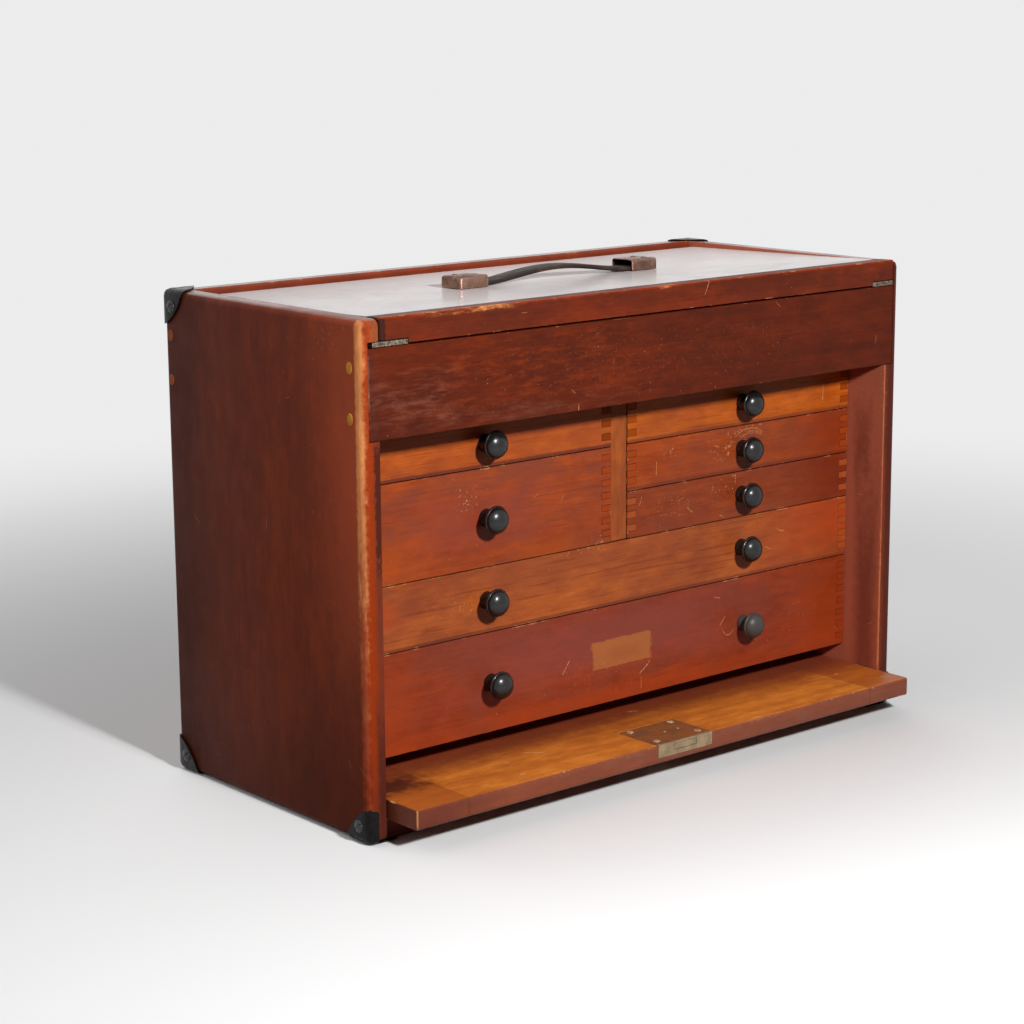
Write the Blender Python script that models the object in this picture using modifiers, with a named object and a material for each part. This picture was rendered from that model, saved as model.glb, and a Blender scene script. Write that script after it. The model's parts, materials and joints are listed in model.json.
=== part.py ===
"""Engineer's tool chest with seven drawers, a drop front and a lid.

A mahogany case stands on steel corner plates. Seven finger-jointed drawers run on strips let into
the case. The drop front, put away here in its slot under the drawers, can be drawn out to close over
them and locks into the fascia. The lid turns on two steel pins and carries a strap handle.

Case frame: X to the right, Y to the back from the front edges of the sides, Z up from the floor. The
parent empty shifts the case so that the origin is on the floor under the middle of its footprint.
"""

import math

import bmesh
import bpy
from mathutils import Matrix, Vector

# Clearances, in metres like every size here
GAP = 0.0003            # between pieces that touch
RUN = 0.0006            # beside drawers, drop front and lid
PASS = 0.003            # how far a cutter passes the face that it opens
MERGE = 0.00003         # points nearer than this are one
SMOOTH_ANGLE = math.radians(35)
EMPTY_SIZE = 0.02

# Case
WIDTH = 0.480           # over the side boards
DEPTH = 0.216           # of the side boards
SIDE = 0.013
SIDE_ROUND = 0.0045
HOUSING = 0.005         # how far the inner boards enter the sides
BASE = 0.0138
BASE_SET = 0.004        # base board's front edge behind the sides'
CASE_FLOOR = 0.006
CASE_FLOOR_SET = 0.075
TILL_FLOOR = 0.008
TILL_SET = 0.0007       # compartment floor above the fascia's lower edge
FASCIA = 0.016
FASCIA_HEIGHT = 0.0564
FASCIA_SET = 0.0005     # fascia's face behind the sides' front edges
FASCIA_CLEAR = 0.0026   # under the fascia, over the top drawers
NOSE = 0.005            # of the side left outside the fascia's rebate
BACK_RAIL = 0.013
BACK_PANEL = 0.007
BACK_SET = 0.0005       # back panel inside the sides' back edges
BACK_FOOT = 0.0028      # back panel above the sides' lower edges
DIVIDER = 0.014

# Drop front and its lock
PANEL = 0.0127
PANEL_OUT = 0.030       # how far it stands out of the case when put away
PANEL_ROUND = 0.0015
LOCK_X = 0.002          # lock's middle, right of the case's
LOCK_WIDTH = 0.050
LOCK_DEPTH = 0.039
LOCK_HEIGHT = 0.009
LOCK_WALL = 0.0016
LOCK_COVER = 0.0012
SELVEDGE = 0.002
BOLT_WIDTH = 0.020
BOLT = 0.0038
BOLT_LENGTH = 0.022
BOLT_DROP = 0.0036      # bolt's middle below the panel's inner face
KEY_PLATE = 0.0008
KEY_PLATE_WIDTH = 0.014
KEY_PLATE_LENGTH = 0.022
KEY_INSET = 0.017       # keyhole from the drop front's locking edge
KEY_RADIUS = 0.002
KEY_SLOT = 0.0016
KEY_SLOT_LENGTH = 0.006
KEEPER = 0.0012
KEEPER_WIDTH = 0.040
KEEPER_DEPTH = 0.011
KEEPER_CLEAR = 0.0005   # round the bolt
KEEPER_POCKET = 0.009   # bolt hole in the fascia behind the keeper

# Drawers
FRONT_FACE = 0.034      # drawer fronts behind the sides' front edges
DRAWER_CLEAR = 0.0067   # over the case floor, under the deep drawer
DEEP_DRAWER = 0.068
LONG_DRAWER = 0.044
SMALL_DRAWER = 0.0328
FRONT_GAP = 0.0008      # between two drawer fronts
DRAWER_FRONT = 0.009
DRAWER_SIDE = 0.008
DRAWER_BACK = 0.008
DRAWER_BOTTOM = 0.003
BEHIND_DRAWERS = 0.0045  # between the drawer boxes and the back panel
FINGER = 0.0046
RUNNER = 0.0035         # how far a runner stands off the case
RUNNER_HEIGHT = 0.005
RUNNER_START = 0.016    # runner's front end behind the drawer fronts
RUNNER_ROOT = 0.001     # of the runner let into the case

# Knobs
KNOB_RADIUS = 0.0095
KNOB_OUT = 0.017
KNOB_DOME = 0.0055
KNOB_RIM = 0.0015
KNOB_COVE = 0.004
KNOB_NECK = 0.0043
KNOB_FOOT = 0.006
KNOB_FOOT_HEIGHT = 0.0008
KNOB_SHIFT = 0.003      # deep drawer's knobs, right of those above them
KNOB_STEPS = 16
KNOB_ARC = 4

# Lid and handle
LID_BOARD = 0.012
LIP = 0.004             # back rail's top over the lid board
LID_TILT = math.radians(1.37)
HINGE_CLEAR = 0.0007    # lid's rounded back edge to the back rail
LID_ARC = 10
RAIL = 0.012
RAIL_HEIGHT = 0.017
RAIL_SET = 0.0006       # rail's face behind the sides' front edges
RAIL_SHORT = 0.0008     # rail's left end inside the lid board's
RAIL_ROUND = 0.0025     # of the rail's left front edge
STRIP = 0.0034
STRIP_DEPTH = 0.0094
STRIP_PROUD = 0.0007    # below the rail
LEFT_STRIP_LENGTH = 0.027
LEFT_STRIP_OUT = 0.0045  # beyond the lid board's left end
RIGHT_STRIP_LENGTH = 0.021
PIN_RADIUS = 0.0025
PIN_SET = 0.004         # pin's outer end inside the side's outer face
PIN_REACH = 0.014       # pin inside the case
PIN_STEPS = 16
HANDLE_X = -0.003
HANDLE_Y = 0.0985
HANDLE_SPAN = 0.178
CAP_LENGTH = 0.024
CAP_WIDTH = 0.021
CAP_HEIGHT = 0.008
CAP_WALL = 0.001
CAP_ROUND = 0.002
STRAP = 0.0032
STRAP_WIDTH = 0.017
STRAP_RISE = 0.0062
STRAP_PLAY = 0.0025     # at each end, inside the cap
STRAP_ARC = 16

# Corner plates
PLATE = 0.0009
PLATE_REACH = 0.025
PLATE_BULGE = 0.012     # how far outside the corner its edge's centre lies
PLATE_ROUND = 0.005
PLATE_SEGMENTS = 48
FRONT_FLANGE = 0.0075
FOOT_SKIN = 0.00005     # front flange's cut above the plate's foot
ROUND_SEGMENTS = 3

# Levels from the floor up
inner = WIDTH / 2 - SIDE
wood_low = PLATE + GAP
base_high = wood_low + BASE
panel_low = base_high + GAP
panel_high = panel_low + PANEL
case_floor_low = panel_high + RUN
case_floor_high = case_floor_low + CASE_FLOOR
drawers_low = case_floor_high + DRAWER_CLEAR
deep_high = drawers_low + DEEP_DRAWER
long_high = deep_high + LONG_DRAWER
low_small_high = long_high + SMALL_DRAWER
mid_small_high = low_small_high + SMALL_DRAWER
drawers_high = mid_small_high + SMALL_DRAWER
fascia_low = drawers_high + FASCIA_CLEAR
fascia_high = fascia_low + FASCIA_HEIGHT
till_low = fascia_low + TILL_SET

# Depths from the front back
fascia_back = FASCIA_SET + FASCIA
back_rail_front = DEPTH - BACK_RAIL
back_panel_back = DEPTH - BACK_SET
back_panel_front = back_panel_back - BACK_PANEL
runner_back = back_rail_front - GAP
runner_front = FRONT_FACE + RUNNER_START
drawer_length = back_panel_front - BEHIND_DRAWERS - FRONT_FACE

# The lid rests on its pins and, at the front, on the strips that lie on the fascia
lid_half = LID_BOARD / 2
pivot_y = back_rail_front - HINGE_CLEAR - lid_half
rail_front = RAIL_SET - pivot_y
rail_low = lid_half - RAIL_HEIGHT
strip_low = rail_low - STRIP_PROUD
strip_reach = -(rail_front + STRIP_DEPTH)
strip_sink = strip_low * math.cos(LID_TILT) + strip_reach * math.sin(LID_TILT)
pivot_z = fascia_high + GAP - strip_sink
case_high = pivot_z + lid_half + LIP
strip_high = fascia_high + GAP + STRIP

# The origin lies under the middle of the whole footprint
footprint_back = DEPTH + GAP + PLATE
origin_y = (footprint_back - PANEL_OUT) / 2


def clear_scene():
    for obj in list(bpy.data.objects):
        bpy.data.objects.remove(obj, do_unlink=True)


def paint(name, finish):
    """A plain material of the given colour, roughness and metallic share."""
    colour, roughness, metallic = finish
    made = bpy.data.materials.new(name)
    made.use_nodes = True
    shader = made.node_tree.nodes["Principled BSDF"]
    shader.inputs["Base Color"].default_value = (*colour, 1.0)
    shader.inputs["Roughness"].default_value = roughness
    shader.inputs["Metallic"].default_value = metallic
    made.diffuse_color = (*colour, 1.0)
    return made


clear_scene()
parts = bpy.data.collections.new("tool_chest")
cutters = bpy.data.collections.new("tool_chest_cutters")
bpy.context.scene.collection.children.link(parts)
bpy.context.scene.collection.children.link(cutters)

# Finishes: colour, roughness, metallic share
CASE_WOOD = ((0.085, 0.025, 0.014), 0.4, 0.0)
FRONT_WOOD = ((0.150, 0.045, 0.020), 0.4, 0.0)
DRAWER_WOOD = ((0.330, 0.110, 0.035), 0.4, 0.0)
PALE_WOOD = ((0.420, 0.230, 0.095), 0.5, 0.0)
EBONISED = ((0.012, 0.011, 0.011), 0.2, 0.0)
BLACK_STEEL = ((0.012, 0.011, 0.011), 0.35, 1.0)
STEEL = ((0.420, 0.410, 0.390), 0.5, 1.0)
BRASS = ((0.360, 0.270, 0.110), 0.4, 1.0)
BRONZE = ((0.200, 0.110, 0.075), 0.4, 1.0)
LEATHER = ((0.045, 0.022, 0.015), 0.6, 0.0)


def empty(name, at, parent=None, turn=0.0):
    """An empty that pieces hang on, turned about X."""
    made = bpy.data.objects.new(name, None)
    made.location = at
    made.rotation_euler = (turn, 0.0, 0.0)
    made.empty_display_size = EMPTY_SIZE
    made.parent = parent
    parts.objects.link(made)
    return made


def add_object(name, mesh, parent, finish=None):
    """A named piece with its own material, or a cutter if it has no finish."""
    made = bpy.data.objects.new(name, mesh)
    made.parent = parent
    if finish is None:
        made.hide_render = True
        made.display_type = "WIRE"
        cutters.objects.link(made)
        return made
    mesh.materials.append(paint(name, finish))
    parts.objects.link(made)
    return made


def add_cube(bm, x, y, z):
    """A cube in bm between the given limits."""
    low = Vector((min(x), min(y), min(z)))
    high = Vector((max(x), max(y), max(z)))
    place = Matrix.Translation((low + high) / 2) @ Matrix.Diagonal((*(high - low), 1.0))
    bmesh.ops.create_cube(bm, size=1.0, matrix=place)


def block(name, x, y, z, parent, finish=None):
    """One board between the given limits along its parent's axes."""
    middle = Vector((sum(x) / 2, sum(y) / 2, sum(z) / 2))
    bm = bmesh.new()
    add_cube(bm, x, y, z)
    bmesh.ops.translate(bm, vec=-middle, verts=bm.verts)
    mesh = bpy.data.meshes.new(name)
    bm.to_mesh(mesh)
    bm.free()
    made = add_object(name, mesh, parent, finish)
    made.location = middle
    return made


def blocks(name, limits, parent):
    """Several blocks that do not touch, as one cutter or one set of strips."""
    bm = bmesh.new()
    for x, y, z in limits:
        add_cube(bm, x, y, z)
    mesh = bpy.data.meshes.new(name)
    bm.to_mesh(mesh)
    bm.free()
    return add_object(name, mesh, parent)


def rod(name, radius, x, y, z, parent, finish=None):
    """A round rod along X between the limits x, about the line at y and z."""
    length = max(x) - min(x)
    bm = bmesh.new()
    turn = Matrix.Rotation(math.pi / 2, 4, "Y")
    bmesh.ops.create_cone(bm, cap_ends=True, segments=PIN_STEPS, radius1=radius, radius2=radius,
                          depth=length, matrix=turn)
    mesh = bpy.data.meshes.new(name)
    bm.to_mesh(mesh)
    bm.free()
    made = add_object(name, mesh, parent, finish)
    made.location = (sum(x) / 2, y, z)
    return made


def outline(name, points, thickness, parent, finish, turn):
    """A flat outline as a mesh of the given thickness, turned from its own XY plane."""
    curve = bpy.data.curves.new(name, "CURVE")
    curve.dimensions = "2D"
    curve.fill_mode = "BOTH"
    curve.extrude = thickness / 2
    spline = curve.splines.new("POLY")
    spline.points.add(len(points) - 1)
    for point, (across, up) in zip(spline.points, points):
        point.co = (across, up, 0.0, 1.0)
    spline.use_cyclic_u = True
    flat = bpy.data.objects.new(name + "_outline", curve)
    cutters.objects.link(flat)
    bpy.context.view_layer.update()
    view = flat.evaluated_get(bpy.context.evaluated_depsgraph_get())
    mesh = bpy.data.meshes.new_from_object(view)
    bpy.data.objects.remove(flat, do_unlink=True)
    bm = bmesh.new()
    bm.from_mesh(mesh)
    bmesh.ops.remove_doubles(bm, verts=bm.verts, dist=MERGE)
    bmesh.ops.transform(bm, matrix=turn, verts=bm.verts)
    bmesh.ops.recalc_face_normals(bm, faces=bm.faces)
    bm.to_mesh(mesh)
    bm.free()
    mesh.name = name
    return add_object(name, mesh, parent, finish)


# From an outline's own plane into the front view, and into the side view
FRONT_VIEW = Matrix.Rotation(math.pi / 2, 4, "X")
SIDE_VIEW = Matrix(((0, 0, 1, 0), (1, 0, 0, 0), (0, 1, 0, 0), (0, 0, 0, 1)))


def round_edges(obj, chosen, radius):
    """Round the edges whose middles, in the object's own frame, are chosen."""
    bm = bmesh.new()
    bm.from_mesh(obj.data)
    picked = [e for e in bm.edges if chosen((e.verts[0].co + e.verts[1].co) / 2)]
    bmesh.ops.bevel(bm, geom=picked, offset=radius, segments=ROUND_SEGMENTS, profile=0.5,
                    affect="EDGES")
    bm.to_mesh(obj.data)
    bm.free()
    obj.data.shade_smooth()
    obj.data.set_sharp_from_angle(angle=SMOOTH_ANGLE)


def combine(obj, other, operation="DIFFERENCE"):
    """Cut another object from this one, or join it, by a live modifier."""
    step = obj.modifiers.new(other.name, "BOOLEAN")
    step.operation = operation
    step.solver = "EXACT"
    step.object = other


def grown(limits, by=GAP):
    """The limits of a block with a gap all round it."""
    return tuple((min(pair) - by, max(pair) + by) for pair in limits)


case = empty("tool_chest", (0.0, -origin_y, 0.0))

# Drawer openings: name, limits in X, limits in Z, and the knobs' places in X
left_bay = (-inner, -DIVIDER / 2)
right_bay = (DIVIDER / 2, inner)
full_bay = (-inner, inner)
left_knob = (left_bay[0] + left_bay[1]) / 2
right_knob = -left_knob
DRAWERS = (
    ("left_upper", left_bay, (mid_small_high, drawers_high), {"knob": left_knob}),
    ("left_lower", left_bay, (long_high, mid_small_high), {"knob": left_knob}),
    ("right_upper", right_bay, (mid_small_high, drawers_high), {"knob": right_knob}),
    ("right_middle", right_bay, (low_small_high, mid_small_high), {"knob": right_knob}),
    ("right_lower", right_bay, (long_high, low_small_high), {"knob": right_knob}),
    ("long", full_bay, (deep_high, long_high),
     {"left_knob": left_knob, "right_knob": right_knob}),
    ("deep", full_bay, (drawers_low, deep_high),
     {"left_knob": left_knob + KNOB_SHIFT, "right_knob": right_knob + KNOB_SHIFT}),
)


def runners_at(face, inward, bay_end):
    """The runner strips on one upright face for the drawers whose bay ends there."""
    strips = []
    for _, bay, levels, _ in DRAWERS:
        if abs(bay[bay_end] - face) > GAP:
            continue
        middle = sum(levels) / 2
        across = (face - inward * RUNNER_ROOT, face + inward * RUNNER)
        along = (runner_front, runner_back)
        up = (middle - RUNNER_HEIGHT / 2, middle + RUNNER_HEIGHT / 2)
        strips.append((across, along, up))
    return strips


# Boards of the case, as limits, so that the sides can be cut for them
housed = inner + HOUSING
base_limits = ((-housed, housed), (BASE_SET, back_panel_front - GAP), (wood_low, base_high))
floor_limits = ((-housed, housed), (CASE_FLOOR_SET, back_panel_front - GAP),
                (case_floor_low, case_floor_high))
till_limits = ((-housed, housed), (fascia_back + GAP, back_rail_front - GAP),
               (till_low, till_low + TILL_FLOOR))
fascia_end = WIDTH / 2 - NOSE - GAP
fascia_limits = ((-fascia_end, fascia_end), (FASCIA_SET, fascia_back), (fascia_low, fascia_high))
rail_limits = ((-housed, housed), (back_rail_front, DEPTH), (fascia_low, case_high))
back_limits = ((-housed, housed), (back_panel_front, back_panel_back),
               (wood_low + BACK_FOOT, fascia_low - GAP))

block("base_board", *base_limits, case, CASE_WOOD)
block("case_floor", *floor_limits, case, PALE_WOOD)
till_floor = block("till_floor", *till_limits, case, PALE_WOOD)
fascia = block("front_fascia", *fascia_limits, case, FRONT_WOOD)
back_rail = block("back_rail", *rail_limits, case, CASE_WOOD)
block("back_panel", *back_limits, case, CASE_WOOD)
round_edges(back_rail, lambda at: at.y > GAP and at.z > GAP, SIDE_ROUND)


def side_board(name, hand):
    """A side board, cut for the boards that enter it, with its runner strips."""
    face = hand * inner
    made = block(name, (face, hand * WIDTH / 2), (0.0, DEPTH), (wood_low, case_high), case, CASE_WOOD)
    round_edges(made, lambda at: at.x * hand > -GAP, SIDE_ROUND)
    into = (face - hand * PASS, hand * (housed + GAP))
    fascia_into = (face - hand * PASS, hand * (fascia_end + GAP))
    base_cut = (into, grown(base_limits)[1], (wood_low - PASS, base_high + GAP))
    floor_cut = (into, *grown(floor_limits)[1:])
    till_cut = (into, *grown(till_limits)[1:])
    rebate_high = strip_high + GAP if hand < 0 else case_high + PASS
    rebate = (fascia_into, (-PASS, fascia_back + GAP), (fascia_low - GAP, rebate_high))
    rail_cut = (into, (back_rail_front - GAP, DEPTH + PASS), (fascia_low - GAP, case_high + PASS))
    back_cut = (into, (back_panel_front - GAP, DEPTH + PASS), (wood_low - PASS, fascia_low - GAP / 2))
    combine(made, blocks(name + "_housings", (base_cut, floor_cut, till_cut), case))
    combine(made, blocks(name + "_rebates", (rebate, rail_cut), case))
    combine(made, blocks(name + "_back_rebate", (back_cut,), case))
    bore = (face - hand * PASS, hand * (WIDTH / 2 - PIN_SET + GAP))
    combine(made, rod(name + "_pin_bore", PIN_RADIUS + GAP, bore, pivot_y, pivot_z, case))
    bay_end = 1 if hand > 0 else 0
    strips = runners_at(face, -hand, bay_end)
    combine(made, blocks(name + "_runners", strips, case), "UNION")
    return made


side_board("left_side", -1)
side_board("right_side", 1)

divider = block("drawer_divider", (-DIVIDER / 2, DIVIDER / 2), (FRONT_FACE + FASCIA_SET, runner_back),
                (long_high + FRONT_GAP / 2, till_low - GAP), case, FRONT_WOOD)
divider_strips = runners_at(-DIVIDER / 2, -1, 1) + runners_at(DIVIDER / 2, 1, 0)
combine(divider, blocks("divider_runners", divider_strips, case), "UNION")


def fingers(height):
    """The levels between the fingers of a corner joint, from its lower edge up."""
    pairs = max(1, round((height / FINGER - 1) / 2))
    count = 2 * pairs + 1
    return [height * i / count for i in range(count + 1)]


def drawer_front(name, half, low, high, parent):
    """A drawer front whose ends are notched for the fingers of the drawer's sides."""
    levels = fingers(high - low)
    notch = half - DRAWER_SIDE - GAP
    rising = [(half, low)]
    for i in range(1, len(levels) - 1):
        opens = i % 2 == 1
        level = low + levels[i] + (-GAP / 2 if opens else GAP / 2)
        rising.append((half if opens else notch, level))
        rising.append((notch if opens else half, level))
    rising.append((half, high))
    points = rising + [(-across, up) for across, up in reversed(rising)]
    made = outline(name + "_front", points, DRAWER_FRONT, parent, DRAWER_WOOD, FRONT_VIEW)
    made.location = (0.0, DRAWER_FRONT / 2, 0.0)
    return made


def drawer_box(name, half, low, high, foot, parent):
    """The two sides and the back of a drawer, fingered into its front and grooved for the runners."""
    hollow = half - DRAWER_SIDE
    plan = [(-half, 0.0), (-hollow, 0.0), (-hollow, drawer_length - DRAWER_BACK),
            (hollow, drawer_length - DRAWER_BACK), (hollow, 0.0), (half, 0.0),
            (half, drawer_length), (-half, drawer_length)]
    made = outline(name + "_box", plan, high - foot, parent, PALE_WOOD, Matrix.Identity(4))
    made.location = (0.0, 0.0, (foot + high) / 2)
    levels = fingers(high - low)
    deep = (-PASS, DRAWER_FRONT + GAP)
    notches = []
    for i in range(0, len(levels) - 1, 2):
        start = low + levels[i] - (GAP / 2 if i else PASS)
        end = low + levels[i + 1] + (GAP / 2 if i + 2 < len(levels) else PASS)
        for hand in (-1, 1):
            notches.append(((hand * (hollow - PASS), hand * (half + PASS)), deep, (start, end)))
    combine(made, blocks(name + "_notches", notches, parent))
    grooves = []
    for hand in (-1, 1):
        across = (hand * (half - RUNNER), hand * (half + PASS))
        along = (RUNNER_START - GAP, drawer_length + PASS)
        grooves.append((across, along, (-RUNNER_HEIGHT / 2 - GAP, RUNNER_HEIGHT / 2 + GAP)))
    combine(made, blocks(name + "_grooves", grooves, parent))
    return made


def knob_profile():
    """Half the outline of a knob, from the middle of its face to the middle of its foot."""
    rim = KNOB_OUT - KNOB_DOME
    points = []
    for i in range(KNOB_ARC + 1):
        t = math.pi / 2 * i / KNOB_ARC
        points.append((KNOB_RADIUS * math.sin(t), rim + KNOB_DOME * math.cos(t)))
    under = rim - KNOB_RIM
    for i in range(KNOB_ARC + 1):
        t = math.pi / 2 * i / KNOB_ARC
        drop = KNOB_COVE * (1 - math.cos(t))
        points.append((KNOB_RADIUS - (KNOB_RADIUS - KNOB_NECK) * math.sin(t), under - drop))
    points.append((KNOB_NECK, 2 * KNOB_FOOT_HEIGHT))
    points.append((KNOB_FOOT, KNOB_FOOT_HEIGHT))
    points.append((KNOB_FOOT, 0.0))
    points.append((0.0, 0.0))
    return points


def knob(name, x, parent):
    """A turned knob on a drawer front, its axis to the front."""
    profile = knob_profile()
    bm = bmesh.new()
    verts = [bm.verts.new((radius, 0.0, out)) for radius, out in profile]
    for first, second in zip(verts, verts[1:]):
        bm.edges.new((first, second))
    mesh = bpy.data.meshes.new(name)
    bm.to_mesh(mesh)
    bm.free()
    made = add_object(name, mesh, parent, EBONISED)
    turned = made.modifiers.new("turned", "SCREW")
    turned.axis = "Z"
    turned.angle = 2 * math.pi
    turned.steps = KNOB_STEPS
    turned.render_steps = KNOB_STEPS
    turned.use_merge_vertices = True
    turned.merge_threshold = MERGE
    turned.use_smooth_shade = True
    made.location = (x, -GAP, 0.0)
    made.rotation_euler = (math.pi / 2, 0.0, 0.0)
    return made


def drawer(name, bay, levels, knobs):
    """A drawer of front, box, bottom and knobs, hung on an empty at its front's middle."""
    middle = sum(bay) / 2
    height = (levels[1] - levels[0] - FRONT_GAP) / 2
    half = (bay[1] - bay[0]) / 2 - RUN
    holder = empty(name + "_drawer", (middle, FRONT_FACE, sum(levels) / 2), case)
    named = name + "_drawer"
    foot = -height + DRAWER_BOTTOM + GAP
    drawer_front(named, half, -height, height, holder)
    drawer_box(named, half, -height, height, foot, holder)
    block(named + "_bottom", (-half, half), (DRAWER_FRONT + GAP, drawer_length),
          (-height, -height + DRAWER_BOTTOM), holder, PALE_WOOD)
    for place, x in knobs.items():
        knob(named + "_" + place, x - middle, holder)


for entry in DRAWERS:
    drawer(*entry)

# Drop front, in a frame at the middle of its lower front edge
drop = empty("drop_front_slide", (0.0, -PANEL_OUT, panel_low), case)
panel_half = inner - RUN
panel_length = back_panel_front - GAP + PANEL_OUT
panel = block("drop_front", (-panel_half, panel_half), (0.0, panel_length), (0.0, PANEL), drop,
              FRONT_WOOD)
round_edges(panel, lambda at: at.y < -GAP or abs(at.x) > panel_half - GAP and abs(at.z) < GAP,
            PANEL_ROUND)

lock_across = (LOCK_X - LOCK_WIDTH / 2, LOCK_X + LOCK_WIDTH / 2)
lock_low = PANEL - LOCK_HEIGHT
cover_low = PANEL - LOCK_COVER
bolt_level = PANEL - BOLT_DROP
lock_seat = ((lock_across[0] - GAP, lock_across[1] + GAP), (-PASS, LOCK_DEPTH + GAP),
             (lock_low - GAP, PANEL + PASS))
combine(panel, blocks("lock_seat", (lock_seat,), drop))

lock_case = block("lock_case", lock_across, (0.0, LOCK_DEPTH), (lock_low, PANEL), drop, BRASS)
lock_inside = ((lock_across[0] + LOCK_WALL, lock_across[1] - LOCK_WALL),
               (SELVEDGE, LOCK_DEPTH - LOCK_WALL), (lock_low + LOCK_WALL, PANEL + PASS))
cover_seat = ((lock_across[0] - PASS, lock_across[1] + PASS), (SELVEDGE, LOCK_DEPTH + PASS),
              (cover_low - GAP, PANEL + PASS))
bolt_across = (LOCK_X - BOLT_WIDTH / 2, LOCK_X + BOLT_WIDTH / 2)
bolt_up = (bolt_level - BOLT / 2, bolt_level + BOLT / 2)
bolt_slot = ((bolt_across[0] - GAP, bolt_across[1] + GAP), (-PASS, SELVEDGE + PASS),
             (bolt_up[0] - GAP, bolt_up[1] + GAP))
combine(lock_case, blocks("lock_hollow", (lock_inside,), drop))
combine(lock_case, blocks("lock_cover_seat", (cover_seat,), drop))
combine(lock_case, blocks("lock_bolt_slot", (bolt_slot,), drop))
block("lock_cover", lock_across, (SELVEDGE + GAP, LOCK_DEPTH), (cover_low, PANEL), drop, BRONZE)
block("lock_bolt", bolt_across, (GAP, BOLT_LENGTH), bolt_up, drop, BRASS)

key_across = (LOCK_X - KEY_PLATE_WIDTH / 2, LOCK_X + KEY_PLATE_WIDTH / 2)
key_along = (KEY_INSET - KEY_PLATE_LENGTH / 2, KEY_INSET + KEY_PLATE_LENGTH / 2)
key_plate = block("keyhole_plate", key_across, key_along, (-GAP - KEY_PLATE, -GAP), drop, BRASS)
key_cut = (-GAP - KEY_PLATE - PASS, lock_low + LOCK_WALL + GAP)
key_slot = ((LOCK_X - KEY_SLOT / 2, LOCK_X + KEY_SLOT / 2),
            (KEY_INSET, KEY_INSET + KEY_SLOT_LENGTH), key_cut)
key_eye = rod("key_eye", KEY_RADIUS, key_cut, 0.0, 0.0, drop)
key_eye.rotation_euler = (0.0, math.pi / 2, 0.0)
key_eye.location = (LOCK_X, KEY_INSET, sum(key_cut) / 2)
key_groove = blocks("key_slot", (key_slot,), drop)
for pierced in (key_plate, panel, lock_case):
    combine(pierced, key_eye)
    combine(pierced, key_groove)

# Keeper in the under edge of the fascia, where the bolt comes when the front is closed
keeper_y = FASCIA_SET + bolt_level
keeper_across = (LOCK_X - KEEPER_WIDTH / 2, LOCK_X + KEEPER_WIDTH / 2)
keeper_along = (keeper_y - KEEPER_DEPTH / 2, keeper_y + KEEPER_DEPTH / 2)
keeper = block("lock_keeper", keeper_across, keeper_along, (fascia_low, fascia_low + KEEPER), case,
               BRASS)
hole_across = (bolt_across[0] - KEEPER_CLEAR, bolt_across[1] + KEEPER_CLEAR)
hole_along = (keeper_y - BOLT / 2 - KEEPER_CLEAR, keeper_y + BOLT / 2 + KEEPER_CLEAR)
hole_up = (fascia_low - PASS, fascia_low + KEEPER_POCKET)
bolt_hole = blocks("bolt_hole", ((hole_across, hole_along, hole_up),), case)
keeper_seat = (*grown((keeper_across, keeper_along)), (fascia_low - PASS, fascia_low + KEEPER + GAP))
combine(fascia, blocks("keeper_seat", (keeper_seat,), case))
combine(fascia, bolt_hole)
combine(keeper, bolt_hole)

# Lid, in a frame on the line that it turns about
lid = empty("lid_axis", (0.0, pivot_y, pivot_z), case, -LID_TILT)
lid_end = inner - RUN
board_front = rail_front + RAIL + GAP
lid_section = [(board_front, -lid_half), (board_front, lid_half)]
for i in range(LID_ARC + 1):
    t = math.pi * i / LID_ARC
    lid_section.append((lid_half * math.sin(t), lid_half * math.cos(t)))
lid_board = outline("lid_board", lid_section, 2 * lid_end, lid, FRONT_WOOD, SIDE_VIEW)
rail_right = WIDTH / 2 - NOSE - RUN
lid_rail = block("lid_rail", (RAIL_SHORT - lid_end, rail_right), (rail_front, rail_front + RAIL),
                 (rail_low, lid_half), lid, FRONT_WOOD)
round_edges(lid_rail, lambda at: max(at.x, at.y, abs(at.z) - 2 * GAP) < -GAP, RAIL_ROUND)

# Strips on the fascia, which the rail is cut out for
strip_along = (FASCIA_SET, FASCIA_SET + STRIP_DEPTH)
strip_up = (fascia_high + GAP, strip_high)
left_strip_end = -lid_end - LEFT_STRIP_OUT
left_strip = (left_strip_end, left_strip_end + LEFT_STRIP_LENGTH)
right_strip = (rail_right - RIGHT_STRIP_LENGTH, rail_right)
seat_along = (rail_front - PASS, rail_front + STRIP_DEPTH + 3 * GAP)
seat_up = (rail_low - PASS, strip_low + STRIP + GAP)
seats = []
for name, across in (("left_lid_strip", left_strip), ("right_lid_strip", right_strip)):
    seats.append(((across[0] - GAP, across[1] + GAP), seat_along, seat_up))
    block(name, across, strip_along, strip_up, case, STEEL)
combine(lid_rail, blocks("strip_seats", seats, lid))

for name, hand in (("left", -1), ("right", 1)):
    pin_along = (hand * (inner - PIN_REACH), hand * (WIDTH / 2 - PIN_SET))
    rod(name + "_lid_pin", PIN_RADIUS, pin_along, pivot_y, pivot_z, case, STEEL)
    bore = (hand * (inner - PIN_REACH - GAP), hand * (lid_end + PASS))
    combine(lid_board, rod(name + "_lid_bore", PIN_RADIUS + GAP, bore, 0.0, 0.0, lid))

# Strap handle, in a frame on the lid's upper face
handle = empty("handle", (HANDLE_X, HANDLE_Y - pivot_y, lid_half + GAP), lid)
handle_end = HANDLE_SPAN / 2


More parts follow.
